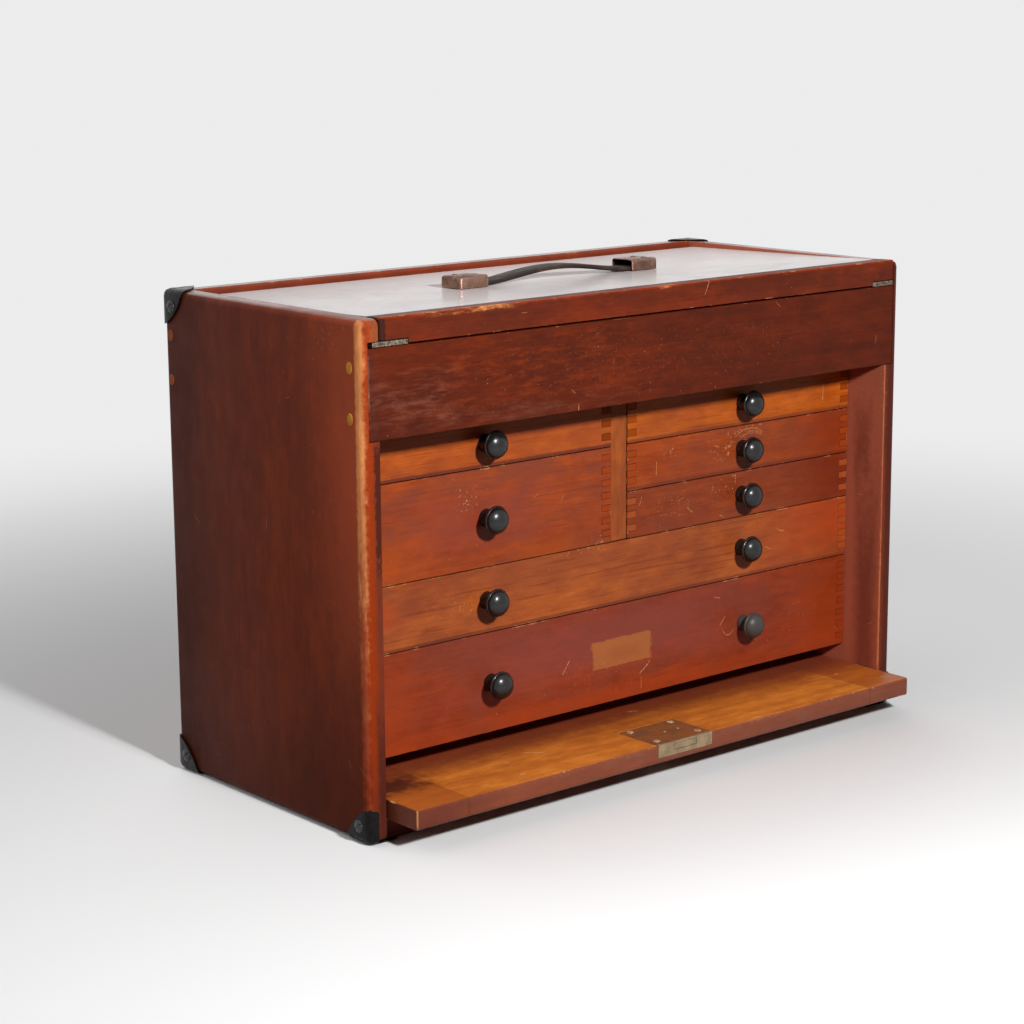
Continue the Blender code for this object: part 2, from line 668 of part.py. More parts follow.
def handle_cap(name, hand):
    """A sheet cap over one end of the strap, open below and to the middle."""
    mouth = handle_end - CAP_LENGTH
    made = block(name, (hand * mouth, hand * handle_end), (-CAP_WIDTH / 2, CAP_WIDTH / 2),
                 (0.0, CAP_HEIGHT), handle, BRONZE)
    mouth_at = -hand * CAP_LENGTH / 2
    round_edges(made, lambda at: abs(at.x - mouth_at) > GAP and at.z > -CAP_HEIGHT / 2 + GAP, CAP_ROUND)
    across = CAP_WIDTH / 2 - CAP_WALL
    hollow = ((hand * (mouth - PASS), hand * (handle_end - CAP_WALL)), (-across, across),
              (-PASS, CAP_HEIGHT - CAP_WALL))
    combine(made, blocks(name + "_hollow", (hollow,), handle))
    return made


handle_cap("left_handle_cap", -1)
handle_cap("right_handle_cap", 1)
strap_end = handle_end - CAP_WALL - STRAP_PLAY
strap_mouth = handle_end - CAP_LENGTH
arch = []
for i in range(STRAP_ARC + 1):
    along = -strap_mouth + 2 * strap_mouth * i / STRAP_ARC
    arch.append((along, STRAP_RISE * math.cos(math.pi * along / (2 * strap_mouth)) ** 2))
under_side = [(-strap_end, 0.0)] + arch + [(strap_end, 0.0)]
upper_side = [(along, up + STRAP) for along, up in reversed(under_side)]
outline("handle_strap", under_side + upper_side, STRAP_WIDTH, handle, LEATHER, FRONT_VIEW)


def meets(corner):
    """A test for the middles of those edges of a block that run into the given corner."""
    def test(at):
        return sum(abs(a - b) < GAP for a, b in zip(at, corner)) >= 2
    return test


def corner_plate(name, hand, at_back, at_top):
    """A pressed steel plate round one corner of the case, with a rounded edge on each face."""
    proud = GAP + PLATE
    corner = Vector((hand * (WIDTH / 2 + proud), footprint_back if at_back else -proud,
                     case_high + proud if at_top else 0.0))
    into = Vector((-hand, -1 if at_back else 1, -1 if at_top else 1))
    far = corner + into * (PLATE_REACH + PLATE_BULGE)
    made = block(name, *zip(corner, far), case, BLACK_STEEL)
    near = -into * (PLATE_REACH + PLATE_BULGE) / 2
    round_edges(made, meets(near), PLATE_ROUND)
    inside = block(name + "_inside", *zip(corner + into * PLATE, far + into * PASS), case)
    inside_near = -into * (PLATE_REACH + PLATE_BULGE - PLATE + PASS) / 2
    round_edges(inside, meets(inside_near), PLATE_ROUND - PLATE)
    combine(made, inside)
    radius = math.sqrt((PLATE_REACH + PLATE_BULGE) ** 2 + 2 * PLATE_BULGE ** 2)
    bm = bmesh.new()
    bmesh.ops.create_uvsphere(bm, u_segments=PLATE_SEGMENTS, v_segments=PLATE_SEGMENTS // 2,
                              radius=radius)
    mesh = bpy.data.meshes.new(name + "_edge")
    bm.to_mesh(mesh)
    bm.free()
    ball = add_object(name + "_edge", mesh, case)
    ball.location = corner - into * PLATE_BULGE
    combine(made, ball, "INTERSECT")
    if at_top:
        way = ((-inner, inner), (0.0, back_rail_front),
               (case_high - PLATE_REACH, case_high + PLATE_REACH))
        combine(made, blocks(name + "_lid_way", (way,), case))
    elif not at_back:
        front_end = hand * (WIDTH / 2 + proud - FRONT_FLANGE)
        way = ((front_end, 0.0), (-PASS, PLATE_ROUND), (PLATE + FOOT_SKIN, 2 * PLATE_REACH))
        combine(made, blocks(name + "_panel_way", (way,), case))
    return made


for side_name, hand in (("left", -1), ("right", 1)):
    corner_plate("upper_back_" + side_name + "_plate", hand, True, True)
    corner_plate("lower_back_" + side_name + "_plate", hand, True, False)
    corner_plate("lower_front_" + side_name + "_plate", hand, False, False)
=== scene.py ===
"""Looks of a mahogany tool chest: eased boards, turned knobs, metal fittings, finishes, light and camera.

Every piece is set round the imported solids, in metres: X to the chest's right, Y to its back, Z up. Boards,
plates, caps and lock are eased copies of their solids. Knobs, strap, lid strips, plugs and screws are
surfaces worked out on grids of two parameters.
"""

import json
import math

import bmesh
import bpy
import numpy as np
from bpy.props import FloatProperty, FloatVectorProperty, IntProperty, PointerProperty
from mathutils import Euler, Matrix, Vector


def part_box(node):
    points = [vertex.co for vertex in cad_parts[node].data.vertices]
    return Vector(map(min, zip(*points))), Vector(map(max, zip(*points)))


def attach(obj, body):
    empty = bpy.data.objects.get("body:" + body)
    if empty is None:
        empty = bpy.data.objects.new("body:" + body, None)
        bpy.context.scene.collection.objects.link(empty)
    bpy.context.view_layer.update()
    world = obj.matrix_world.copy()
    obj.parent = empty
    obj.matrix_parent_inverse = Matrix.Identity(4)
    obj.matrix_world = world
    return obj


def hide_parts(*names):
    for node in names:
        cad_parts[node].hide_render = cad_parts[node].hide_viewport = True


bl_info = {
    "name": "Tool chest looks",
    "version": (1, 0, 0),
    "blender": (4, 5, 0),
    "location": "3D View > Sidebar > Chest",
    "description": "Dresses the solids of a tool chest and sets up its stage",
    "category": "Object",
}

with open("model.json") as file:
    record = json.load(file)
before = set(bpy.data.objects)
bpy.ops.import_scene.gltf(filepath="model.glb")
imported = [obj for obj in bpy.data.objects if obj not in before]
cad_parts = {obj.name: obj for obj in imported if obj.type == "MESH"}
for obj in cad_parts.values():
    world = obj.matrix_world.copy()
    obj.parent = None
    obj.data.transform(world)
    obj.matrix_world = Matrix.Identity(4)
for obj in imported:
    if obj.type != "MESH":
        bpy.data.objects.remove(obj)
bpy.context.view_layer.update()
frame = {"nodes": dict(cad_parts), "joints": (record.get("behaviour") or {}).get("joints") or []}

# Nearer points are one, and flatter edges than these are smooth or dissolved
WELD = 1e-6
FLAT = math.radians(0.5)
SMOOTH = math.radians(40)

# Eased edges of small pieces and of the handle's caps, and the side boards' share of the other boards' width
FINE_EDGE = 0.0002
CAP_EDGE = 0.0003
SIDE_EASING = 0.6

# Thickness of a side board and of the strap
SIDE_THICK = 0.013
STRAP_THICK = 0.0032

# How far the strap's ends stay inside those of its solid, and the width of the drop front's end cleats
STRAP_INSET = 0.0008
CLEAT_WIDTH = 0.041

# Distance of a plate's screws from its outer edges, and where the lock's rivets lie across the chest
SCREW_INSET = 0.0115
RIVETS_ACROSS = (0.0022, 0.0144)

# Stage: half of the floor's side, the way that the surroundings' light comes from, and the camera's sensor
FLOOR_HALF = 150.0
BACK_LEFT = (-0.35, 0.94, 0.0)
SENSOR_WIDTH = 36.0
WHITE = (1.0, 1.0, 1.0, 1.0)

SIDES = {"left_side": -1, "right_side": 1}
DRAWERS = ("left_upper", "left_lower", "right_upper", "right_middle", "right_lower", "long", "deep")
hinge = next(joint for joint in frame["joints"] if joint["name"] == "lid_hinge")
PIVOT = np.array(hinge["pos_m"])


def lid_tilt():
    """The lid's lean about X at rest, from the largest face of its board."""
    faces = frame["nodes"]["lid_board"].data.polygons
    area = np.empty(len(faces))
    normal = np.empty(3 * len(faces))
    faces.foreach_get("area", area)
    faces.foreach_get("normal", normal)
    _, y, z = normal.reshape(-1, 3)[area.argmax()]
    return math.atan(-y / z)


TILT = lid_tilt()
LID_FRAME = np.array(Matrix.Rotation(TILT, 3, "X"))


def colour(name, words, value):
    """A colour that a user may change."""
    return FloatVectorProperty(name=name, description=words, subtype="COLOR", size=3, min=0.0, max=1.0,
                               default=value)


def length(name, words, value):
    """A length that a user may change."""
    return FloatProperty(name=name, description=words, subtype="DISTANCE", unit="LENGTH", min=0.0,
                         precision=5, default=value)


def share(name, words, value):
    """A share between none and all that a user may change."""
    return FloatProperty(name=name, description=words, subtype="FACTOR", min=0.0, max=1.0, default=value)


class ChestWoods(bpy.types.PropertyGroup):
    """Colours of the chest's woods, and how worn they are."""
    case_dark: colour("Case dark", "Dark grain of the side boards", (0.175, 0.030, 0.012))
    case_light: colour("Case light", "Light grain of the side boards", (0.270, 0.047, 0.017))
    case_cloud: colour("Case cloud", "Old dark polish on the side boards", (0.140, 0.032, 0.019))
    front_dark: colour("Front dark", "Dark grain of fascia and lid rail", (0.070, 0.010, 0.004))
    front_light: colour("Front light", "Light grain of fascia and lid rail", (0.138, 0.019, 0.005))
    front_cloud: colour("Front cloud", "Old dark polish on fascia and lid rail", (0.050, 0.010, 0.005))
    lid_dark: colour("Lid dark", "Dark grain of the lid board", (0.125, 0.036, 0.020))
    lid_light: colour("Lid light", "Light grain of the lid board", (0.240, 0.080, 0.044))
    panel_dark: colour("Panel dark", "Dark bands of the drop front's inner face", (0.450, 0.120, 0.018))
    panel_light: colour("Panel light", "Light bands of the drop front's inner face", (0.800, 0.270, 0.038))
    # panel_edge is also the colour of the painted shade on the drop front's inner face under the drawers
    panel_edge: colour("Panel edge", "Old polish on the drop front's edges", (0.190, 0.048, 0.024))
    panel_front: colour("Panel front", "Scuffed polish on the drop front's front edge", (0.185, 0.062, 0.040))
    pale_dark: colour("Pale dark", "Dark grain of the drawer boxes", (0.310, 0.112, 0.038))
    pale_light: colour("Pale light", "Light grain of the drawer boxes", (0.540, 0.232, 0.084))
    left_upper: colour("Left upper front", "Light grain of this drawer front", (0.520, 0.105, 0.012))
    left_lower: colour("Left lower front", "Light grain of this drawer front", (0.380, 0.064, 0.012))
    right_upper: colour("Right upper front", "Light grain of this drawer front", (0.590, 0.126, 0.010))
    right_middle: colour("Right middle front", "Light grain of this drawer front", (0.400, 0.068, 0.010))
    right_lower: colour("Right lower front", "Light grain of this drawer front", (0.300, 0.052, 0.012))
    long: colour("Long front", "Light grain of this drawer front", (0.460, 0.110, 0.022))
    deep: colour("Deep front", "Light grain of this drawer front", (0.310, 0.044, 0.010))
    drawer_cloud: colour("Drawer cloud", "Dark clouds of polish on the drawer fronts", (0.190, 0.042, 0.022))
    rubbed: colour("Rubbed", "Edges that hands have rubbed down to the wood", (0.380, 0.052, 0.008))
    # streak also paints the highlight down the left board's round front edge; elsewhere it is the palest
    # rubbed wear
    streak: colour("Streak", "The palest line of a rubbed edge", (0.930, 0.360, 0.125))
    chipped: colour("Chipped", "Fresh chips and scratches", (0.720, 0.360, 0.150))
    # inner: the right board's inner face painted lighter than the case wood, standing in for the light that
    # falls on it
    inner: colour("Inner", "Inner face of the right side, beside the drawers", (0.620, 0.185, 0.105))
    # dirt also serves as painted shade at the lid rail's left end, and darkens the lid's streaks that stand
    # partly for a darker reflection
    dirt: colour("Dirt", "Old polish and dirt in corners", (0.050, 0.016, 0.012))
    violet: colour("Violet", "Dulled polish beside the opening", (0.105, 0.028, 0.020))
    # handled is also the colour of the thin lower part of the painted highlight on the left board's round
    # front edge
    handled: colour("Handled", "Front of the side boards, worn paler by hands", (0.500, 0.105, 0.045))
    # shaded: a darker colour towards the back and the foot of the side boards
    shaded: colour("Shaded", "Old polish at the back and foot of the side boards", (0.055, 0.008, 0.002))
    milky: colour("Milky", "Bloom where the polish is scuffed", (0.215, 0.095, 0.064))
    plug: colour("Plug", "Pale plugs over the screws in the sides", (0.950, 0.420, 0.050))
    scratches: share("Scratches", "How much the scratches show", 0.45)
    eased: length("Eased edge", "Width of the eased edges of boards", 0.0005)


class ChestFittings(bpy.types.PropertyGroup):
    """Sizes and colours of knobs, metal fittings and strap."""
    knob_sides: IntProperty(name="Knob sides", description="Points round a knob", default=64, min=12)
    knob_black: colour("Knob black", "Polish of the knobs", (0.008, 0.007, 0.007))
    knob_worn: colour("Knob worn", "The knob that has lost its polish", (0.052, 0.046, 0.041))
    knob_groove: length("Knob groove", "Depth of the line round a knob's face", 0.00025)
    plate_black: colour("Plate black", "Japan of the corner plates", (0.006, 0.005, 0.005))
    plate_bare: colour("Plate bare", "Steel where the japan has worn off", (0.180, 0.165, 0.150))
    plate_screw_radius: length("Plate screw radius", "Of the domed screws in the corner plates", 0.0042)
    plate_screw_rise: length("Plate screw rise", "Of a screw's dome over its plate", 0.0016)
    lock_screw_radius: length("Lock screw radius", "Of the lock's screw heads", 0.0026)
    cap_screw_radius: length("Cap screw radius", "Of the screw heads on the handle's caps", 0.0021)
    plug_radius: length("Plug radius", "Of the wood plugs in the sides, along Y", 0.0027)
    plug_stretch: FloatProperty(name="Plug stretch", description="A plug's height over its width",
                                default=1.4, min=1.0)
    bronze: colour("Bronze", "Rubbed bronze of the handle caps", (0.300, 0.168, 0.122))
    bronze_dull: colour("Bronze dull", "Tarnish of the handle caps", (0.150, 0.086, 0.066))
    cover: colour("Lock cover", "Rubbed bronze of the lock's cover", (0.330, 0.125, 0.040))
    cover_dull: colour("Lock cover dull", "Tarnish of the lock's cover", (0.190, 0.075, 0.028))
    brass: colour("Brass", "Rubbed brass of the lock", (0.430, 0.300, 0.170))
    brass_dull: colour("Brass dull", "Greenish tarnish of the lock", (0.270, 0.195, 0.115))
    steel: colour("Steel", "Rubbed steel of the lid strips", (0.260, 0.205, 0.150))
    steel_dull: colour("Steel dull", "Rust of the lid strips", (0.060, 0.034, 0.020))
    leather: colour("Leather", "Worn face of the strap", (0.062, 0.036, 0.024))
    leather_dark: colour("Leather dark", "Creases of the strap", (0.020, 0.012, 0.009))


class ChestStage(bpy.types.PropertyGroup):
    """Floor, light and camera."""
    floor: colour("Floor", "Pale plain floor", (0.880, 0.880, 0.880))
    bounce: colour("Bounce", "What the floor throws back at the chest", (0.035, 0.035, 0.035))
    key_power: FloatProperty(name="Key power", description="Power of the soft key light", unit="POWER",
                             default=18.0, min=0.0)
    key_size: length("Key size", "Side of the square key light", 0.11)
    key_at: FloatVectorProperty(name="Key place", description="Where the key light stands",
                                subtype="TRANSLATION", unit="LENGTH", default=(-0.26, -1.13, 0.78))
    key_aim: FloatVectorProperty(name="Key aim", description="What the key light points at",
                                 subtype="TRANSLATION", unit="LENGTH", default=(-0.03, -0.06, 0.16))
    front_light: share("Front light", "Light of the surroundings before the chest", 0.0)
    back_light: FloatProperty(name="Back light", default=1.1, min=0.0,
                              description="Light of the surroundings behind and left of the chest")
    backdrop: share("Backdrop", "Brightness of the background and of what gloss mirrors", 0.84)
    floor_near: length("Floor near", "Distance at which the floor begins to pass into the background", 0.28)
    floor_far: length("Floor far", "Distance at which the floor has passed into the background", 1.35)
    camera_at: FloatVectorProperty(name="Camera place", description="Where the camera stands",
                                   subtype="TRANSLATION", unit="LENGTH",
                                   default=(-1.11804, -1.27309, 0.52307))
    camera_yaw: FloatProperty(name="Camera yaw", description="Turn to the right from +Y", unit="ROTATION",
                              default=math.radians(40.138))
    camera_pitch: FloatProperty(name="Camera pitch", description="Tilt down from level", unit="ROTATION",
                                default=math.radians(11.965))
    camera_roll: FloatProperty(name="Camera roll", description="Turn about the line of sight",
                               unit="ROTATION", default=math.radians(-0.411))
    lens: FloatProperty(name="Lens", description="Focal length on a 36 mm sensor, in millimetres",
                        default=87.6, min=1.0)


# Surfaces: points as rows of an array, faces as rows of four point numbers


def outward(points, quads):
    """A closed surface with its faces pointing out: turned round if the volume that they enclose,
    a sixth of the sum of a . (b x c) over their triangles, is negative."""
    a, b, c, d = (points[quads[:, i]] for i in range(4))
    volume = (a * np.cross(b, c)).sum() + (a * np.cross(c, d)).sum()
    return (points, quads[:, ::-1]) if volume < 0 else (points, quads)


def grid(rows, columns, closed):
    """Faces of a grid of points numbered row by row, joined round its columns if closed."""
    row, column = np.meshgrid(np.arange(rows - 1), np.arange(columns if closed else columns - 1),
                              indexing="ij")
    here = row * columns + column
    beside = row * columns + (column + 1) % columns
    return np.stack([here, beside, beside + columns, here + columns], axis=-1).reshape(-1, 4)


def joined(*surfaces):
    """Several surfaces as one, each one's point numbers shifted past those before it."""
    starts = np.cumsum([0] + [len(points) for points, _ in surfaces[:-1]])
    return (np.concatenate([points for points, _ in surfaces]),
            np.concatenate([quads + start for (_, quads), start in zip(surfaces, starts)]))


def axes_about(axis):
    """Two directions square to an axis and to each other."""
    axis = np.asarray(axis, float)
    first = np.cross(axis, (0.0, 0.0, 1.0) if abs(axis[2]) < 0.9 else (1.0, 0.0, 0.0))
    first /= np.linalg.norm(first)
    return first, np.cross(axis, first)


def turned(profile, centre, axis, sides, slot=None, stretch=1.0):
    """A turned shape: at the angle t the profile point (r, h) lies at centre + r cos t e1 + r sin t e2
    + h axis, with e2 lengthened by stretch. A slot (width, depth, angle) sinks the points of its strip
    across the upper side."""
    radius, height = np.asarray(profile, float).T
    first, second = axes_about(axis)
    angle = np.linspace(0.0, 2 * math.pi, sides, endpoint=False)
    across = radius[:, None] * np.cos(angle)
    along = stretch * radius[:, None] * np.sin(angle)
    rise = np.repeat(height[:, None], sides, axis=1)
    if slot:
        width, depth, lean = slot
        off = np.abs(across * math.sin(lean) - along * math.cos(lean)) / width
        sink = np.clip((0.8 - off) / 0.4, 0.0, 1.0)
        rise = rise - depth * sink * (rise > 0.0)
    points = (np.asarray(centre, float) + across[..., None] * first + along[..., None] * second
              + rise[..., None] * np.asarray(axis, float))
    return outward(points.reshape(-1, 3), grid(len(radius), sides, True))


def arc(centre, radii, start, end, steps):
    """Profile points (r, h) on a quarter or other arc of an ellipse, by the angle from start to end."""
    t = np.linspace(math.radians(start), math.radians(end), steps)
    return np.column_stack([centre[0] + radii[0] * np.cos(t), centre[1] + radii[1] * np.sin(t)])


def screw_head(radius, rise, root, steps):
    """Half outline of a domed screw head: a quarter of an ellipse, then down to its root."""
    head = np.concatenate([arc((0.0, 0.0), (radius, rise), 90, 0, steps), [(radius, -root), (0.0, -root)]])
    head[0, 0] = 0.0
    return head


def rounded_board(low, high, radius, cells):
    """A board with round edges: each point p of a sharp box, gridded on its six faces, moves to
    q + radius (p - q) / |p - q|, where q is p held inside the box shrunk by the radius."""
    low, high = np.asarray(low, float), np.asarray(high, float)
    bend = radius * np.tan(np.linspace(0.0, math.pi / 4, 4))
    stations = [np.concatenate([(a + radius - bend)[::-1], np.linspace(a + radius, b - radius, n + 1)[1:-1],
                                b - radius + bend]) for a, b, n in zip(low, high, cells)]
    faces = []
    for axis in range(3):
        u, v = np.meshgrid(stations[(axis + 1) % 3], stations[(axis + 2) % 3], indexing="ij")
        for end in (low[axis], high[axis]):
            sharp = np.empty(u.shape + (3,))
            sharp[..., axis] = end
            sharp[..., (axis + 1) % 3] = u
            sharp[..., (axis + 2) % 3] = v
            quads = grid(*u.shape, False)
            faces.append((sharp.reshape(-1, 3), quads if end == low[axis] else quads[:, ::-1]))
    sharp, quads = joined(*faces)
    core = np.clip(sharp, low + radius, high - radius)
    push = sharp - core
    return outward(core + radius * push / np.linalg.norm(push, axis=1, keepdims=True), quads)


def rough_strip(low, high):
    """A rusty strip: a board with round edges whose points sink across its length by 0.1 mm, more or less
    by half the sum of two sine waves of their place."""
    points, quads = rounded_board(low, high, 0.0005, (48, 16, 8))
    wave = np.sin(points @ (1900.0, 700.0, 300.0)) + np.sin(points @ (3100.0, -1500.0, 2100.0) + 1.0)
    sink = 0.00010 * (1.0 + 0.5 * wave)[:, None]
    return points - sink * np.sign(points - 0.5 * (low + high)) * (0, 1, 1), quads


def carried(section, path, side):
    """A section carried along a path: the section point (a, b) lies at p + a side + b n, where n is
    square to the path and to side. The ends close on the middles of their sections."""
    path = np.asarray(path, float)
    ahead = np.gradient(path, axis=0)
    ahead /= np.linalg.norm(ahead, axis=1, keepdims=True)
    side = np.asarray(side, float)
    up = np.cross(ahead, side)
    middle = section.mean(axis=0)
    rings = np.concatenate([np.repeat(middle[None, None], len(section), axis=1),
                            np.repeat(section[None], len(path), axis=0),
                            np.repeat(middle[None, None], len(section), axis=1)])
    path = np.concatenate([path[:1], path, path[-1:]])
    up = np.concatenate([up[:1], up, up[-1:]])
    points = path[:, None] + rings[..., :1] * side + rings[..., 1:] * up[:, None]
    return outward(points.reshape(-1, 3), grid(len(path), len(section), True))


def weld(points, faces):
    """One point for all that lie together, and the faces split into whole ones and those that have
    lost a corner to it."""
    keys = np.round(points / WELD).astype(np.int64)
    _, first, back = np.unique(keys, axis=0, return_index=True, return_inverse=True)
    faces = back.reshape(-1)[faces]
    same = faces == np.roll(faces, -1, axis=1)
    lost = same.sum(axis=1)
    thin = faces[lost == 1]
    corners = faces.shape[1]
    keep = (same[lost == 1].argmax(axis=1)[:, None] + np.arange(1, corners)) % corners
    return points[first], faces[lost == 0], np.take_along_axis(thin, keep, axis=1)


def mesh_of(name, points, faces):
    """A mesh of a surface, welded, with smooth faces and the sharp edges kept."""
    points, whole, thin = weld(points, faces)
    groups = [whole] if faces.shape[1] == 3 else [whole, thin]
    sizes = np.concatenate([np.full(len(group), group.shape[1]) for group in groups])
    mesh = bpy.data.meshes.new(name)
    mesh.vertices.add(len(points))
    mesh.vertices.foreach_set("co", points.astype(np.float32).ravel())
    mesh.loops.add(int(sizes.sum()))
    mesh.loops.foreach_set("vertex_index", np.concatenate([g.ravel() for g in groups]).astype(np.int32))
    mesh.polygons.add(len(sizes))
    mesh.polygons.foreach_set("loop_start", (np.cumsum(sizes) - sizes).astype(np.int32))
    mesh.update(calc_edges=True)
    if mesh.validate():
        raise RuntimeError(name + " has faulty faces")
    mesh.shade_smooth()
    mesh.set_sharp_from_angle(angle=SMOOTH)
    return mesh


def show(name, mesh, material, body, slot, *nodes):
    """A finished piece: it rides on a body, takes its material and stands for the nodes named. The slot is
    not used.
    """
    piece = bpy.data.objects.new(name, mesh)
    bpy.context.scene.collection.objects.link(piece)
    mesh.materials.clear()
    mesh.materials.append(material)
    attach(piece, body)
    if nodes:
        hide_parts(*nodes)
    return piece


def points_of(node):
    """The points of a CAD node, as rows."""
    source = frame["nodes"][node].data
    points = np.empty(3 * len(source.vertices))
    source.vertices.foreach_get("co", points)
    return points.reshape(-1, 3)


def softened(node, material, width, slot, body):
    """A board as a copy of its solid: triangles welded and joined into flat faces, then its sharp
    edges eased by a bevel."""
    source = frame["nodes"][node].data
    corners = np.empty(len(source.loops), np.int64)
    source.loops.foreach_get("vertex_index", corners)
    mesh = mesh_of(node + "_eased", points_of(node), corners.reshape(-1, 3))
    bm = bmesh.new()
    bm.from_mesh(mesh)
    bmesh.ops.dissolve_limit(bm, angle_limit=FLAT, verts=bm.verts, edges=bm.edges)
    bm.to_mesh(mesh)
    bm.free()
    piece = show(node + "_eased", mesh, material, body, slot, node)
    bevel = piece.modifiers.new("eased", "BEVEL")
    bevel.width = width
    bevel.segments = 2
    bevel.limit_method = "ANGLE"
    bevel.angle_limit = SMOOTH
    bevel.harden_normals = True
    return piece


def finish_node(node, material):
    """A CAD node that shows as it is, with a better finish."""
    for place in frame["nodes"][node].material_slots:
        place.material = material


def lid_box(node):
    """Lowest and highest corner of a node in the lid's own frame, at the hinge and along the lid."""
    local = (points_of(node) - PIVOT) @ LID_FRAME
    return local.min(axis=0), local.max(axis=0)


def from_lid(points):
    """Points of the lid's own frame, in the frame of the chest."""
    return points @ LID_FRAME.T + PIVOT


# Finishes


class Wiring:
    """A node tree in the making: adds nodes and feeds each socket a value or another socket."""

    def __init__(self, tree):
        self.tree = tree

    def feed(self, socket, value):
        """Link a socket to another one, or set its value."""
        if isinstance(value, bpy.types.NodeSocket):
            self.tree.links.new(value, socket)
        else:
            socket.default_value = value

    def add(self, kind, sockets=None, **settings):
        """A new node with its settings, and its sockets fed by name or number."""
        node = self.tree.nodes.new(kind)
        for name, value in settings.items():
            setattr(node, name, value)
        for name, value in (sockets or {}).items():
            self.feed(node.inputs[name], value)
        return node

    def numbered(self, kind, operation, values):
        """The result of one operation on values that are fed in order."""
        node = self.add(kind, operation=operation)
        for socket, value in zip(node.inputs, values):
            self.feed(socket, value)
        return node.outputs[0]

    def math(self, operation, *values):
        return self.numbered("ShaderNodeMath", operation, values)

    def vector(self, operation, *values):
        """The result of an operation on vectors, which for a length is a number."""
        made = self.numbered("ShaderNodeVectorMath", operation, values)
        return made.node.outputs["Value"] if operation == "LENGTH" else made

    def blend(self, share_of_second, first, second, kind="MIX"):
        """Two colours mixed or multiplied, by the share of the second one."""
        node = self.add("ShaderNodeMix", data_type="RGBA", blend_type=kind)
        self.feed(node.inputs[0], share_of_second)
        self.feed(node.inputs[6], first)
        self.feed(node.inputs[7], second)
        return node.outputs[2]

    def fade(self, value, none, full):
        """A smooth rise from 0 where the value is none to 1 where it is full."""
        return self.add("ShaderNodeMapRange", {"Value": value, "From Min": none, "From Max": full},
                        interpolation_type="SMOOTHSTEP").outputs["Result"]

    def noise(self, vector, scale, detail=2.0, roughness=0.5, distortion=0.0):
        return self.add("ShaderNodeTexNoise", {"Vector": vector, "Scale": scale, "Detail": detail,
                                               "Roughness": roughness,
                                               "Distortion": distortion}).outputs["Fac"]

    def scaled(self, vector, scale, location=(0.0, 0.0, 0.0), rotation=(0.0, 0.0, 0.0)):
        return self.add("ShaderNodeMapping", {"Vector": vector, "Scale": scale, "Location": location,
                                              "Rotation": rotation}).outputs["Vector"]

    def group(self, tree, **sockets):
        node = self.add("ShaderNodeGroup", node_tree=tree)
        for name, value in sockets.items():
            self.feed(node.inputs[name], value)
        return node.outputs


def new_group(name, inputs, outputs):
    """An empty node group with named sockets, its wiring, and its input and output ends."""
    tree = bpy.data.node_groups.new(name, "ShaderNodeTree")
    for way, sockets in (("INPUT", inputs), ("OUTPUT", outputs)):
        for socket, kind in sockets.items():
            tree.interface.new_socket(name=socket, in_out=way, socket_type="NodeSocket" + kind)
    given = tree.nodes.new("NodeGroupInput").outputs
    return tree, Wiring(tree), given, tree.nodes.new("NodeGroupOutput").inputs


def grain_group():
    """Mahogany, its grain along X: bands, mottling, fibres, dark lines, pores and clouds of old polish."""
    tree, w, given, out = new_group(
        "Mahogany grain", {"Vector": "Vector", "Dark": "Color", "Light": "Color", "Cloud": "Color",
                           "Clouding": "Float", "Bands": "Float", "Lines": "Float"},
        {"Color": "Color", "Height": "Float", "Clouds": "Float"})
    vector = given["Vector"]
    bands = w.noise(w.scaled(vector, (0.06, 1.0, 1.0)), given["Bands"], 4.0, 0.62, 0.6)
    broad = w.noise(w.scaled(vector, (0.30, 1.0, 1.0)), 16.0, 2.0)
    mottle = w.noise(w.scaled(vector, (0.35, 1.0, 1.0)), 110.0, 4.0, 0.65)
    fibres = w.noise(w.scaled(vector, (0.016, 1.0, 1.0)), 800.0, 3.0, 0.6)
    pores = w.fade(w.noise(w.scaled(vector, (0.035, 1.0, 1.0)), 1700.0, 1.0), 0.60, 0.74)
    lines = w.fade(w.noise(w.scaled(vector, (0.020, 1.0, 1.0)), 620.0, 2.0), 0.60, 0.67)
    billow = w.noise(w.scaled(vector, (0.45, 1.0, 1.0), (0.3, 0.7, 0.2)), 19.0, 5.0, 0.6)
    blotch = w.noise(w.scaled(vector, (0.55, 1.0, 1.0), (0.6, 0.2, 0.9)), 85.0, 4.0, 0.6)
    clouds = w.fade(w.math("MULTIPLY_ADD", blotch, 0.42, w.math("MULTIPLY", billow, 0.58)), 0.42, 0.60)
    tone = w.math("MULTIPLY_ADD", bands, 1.2, w.math("MULTIPLY_ADD", broad, 0.8, -0.50))
    tone = w.math("ADD", tone, w.math("MULTIPLY_ADD", mottle, 2.0, -1.0))
    tone = w.math("ADD", tone, w.math("MULTIPLY_ADD", fibres, 0.60, -0.30))
    held = w.add("ShaderNodeClamp", {"Value": tone}).outputs["Result"]
    shade = w.blend(held, given["Dark"], given["Light"])
    shade = w.blend(w.math("MULTIPLY", clouds, given["Clouding"]), shade, given["Cloud"])
    deep = w.blend(1.0, shade, (0.50, 0.42, 0.42, 1.0), "MULTIPLY")
    shade = w.blend(w.math("MULTIPLY", lines, given["Lines"]), shade, deep)
    deep = w.blend(1.0, shade, (0.50, 0.42, 0.42, 1.0), "MULTIPLY")
    w.feed(out["Color"], w.blend(w.math("MULTIPLY", pores, 0.40), shade, deep))
    w.feed(out["Height"], w.math("SUBTRACT", w.math("MULTIPLY", fibres, 0.5), pores))
    w.feed(out["Clouds"], clouds)
    return tree


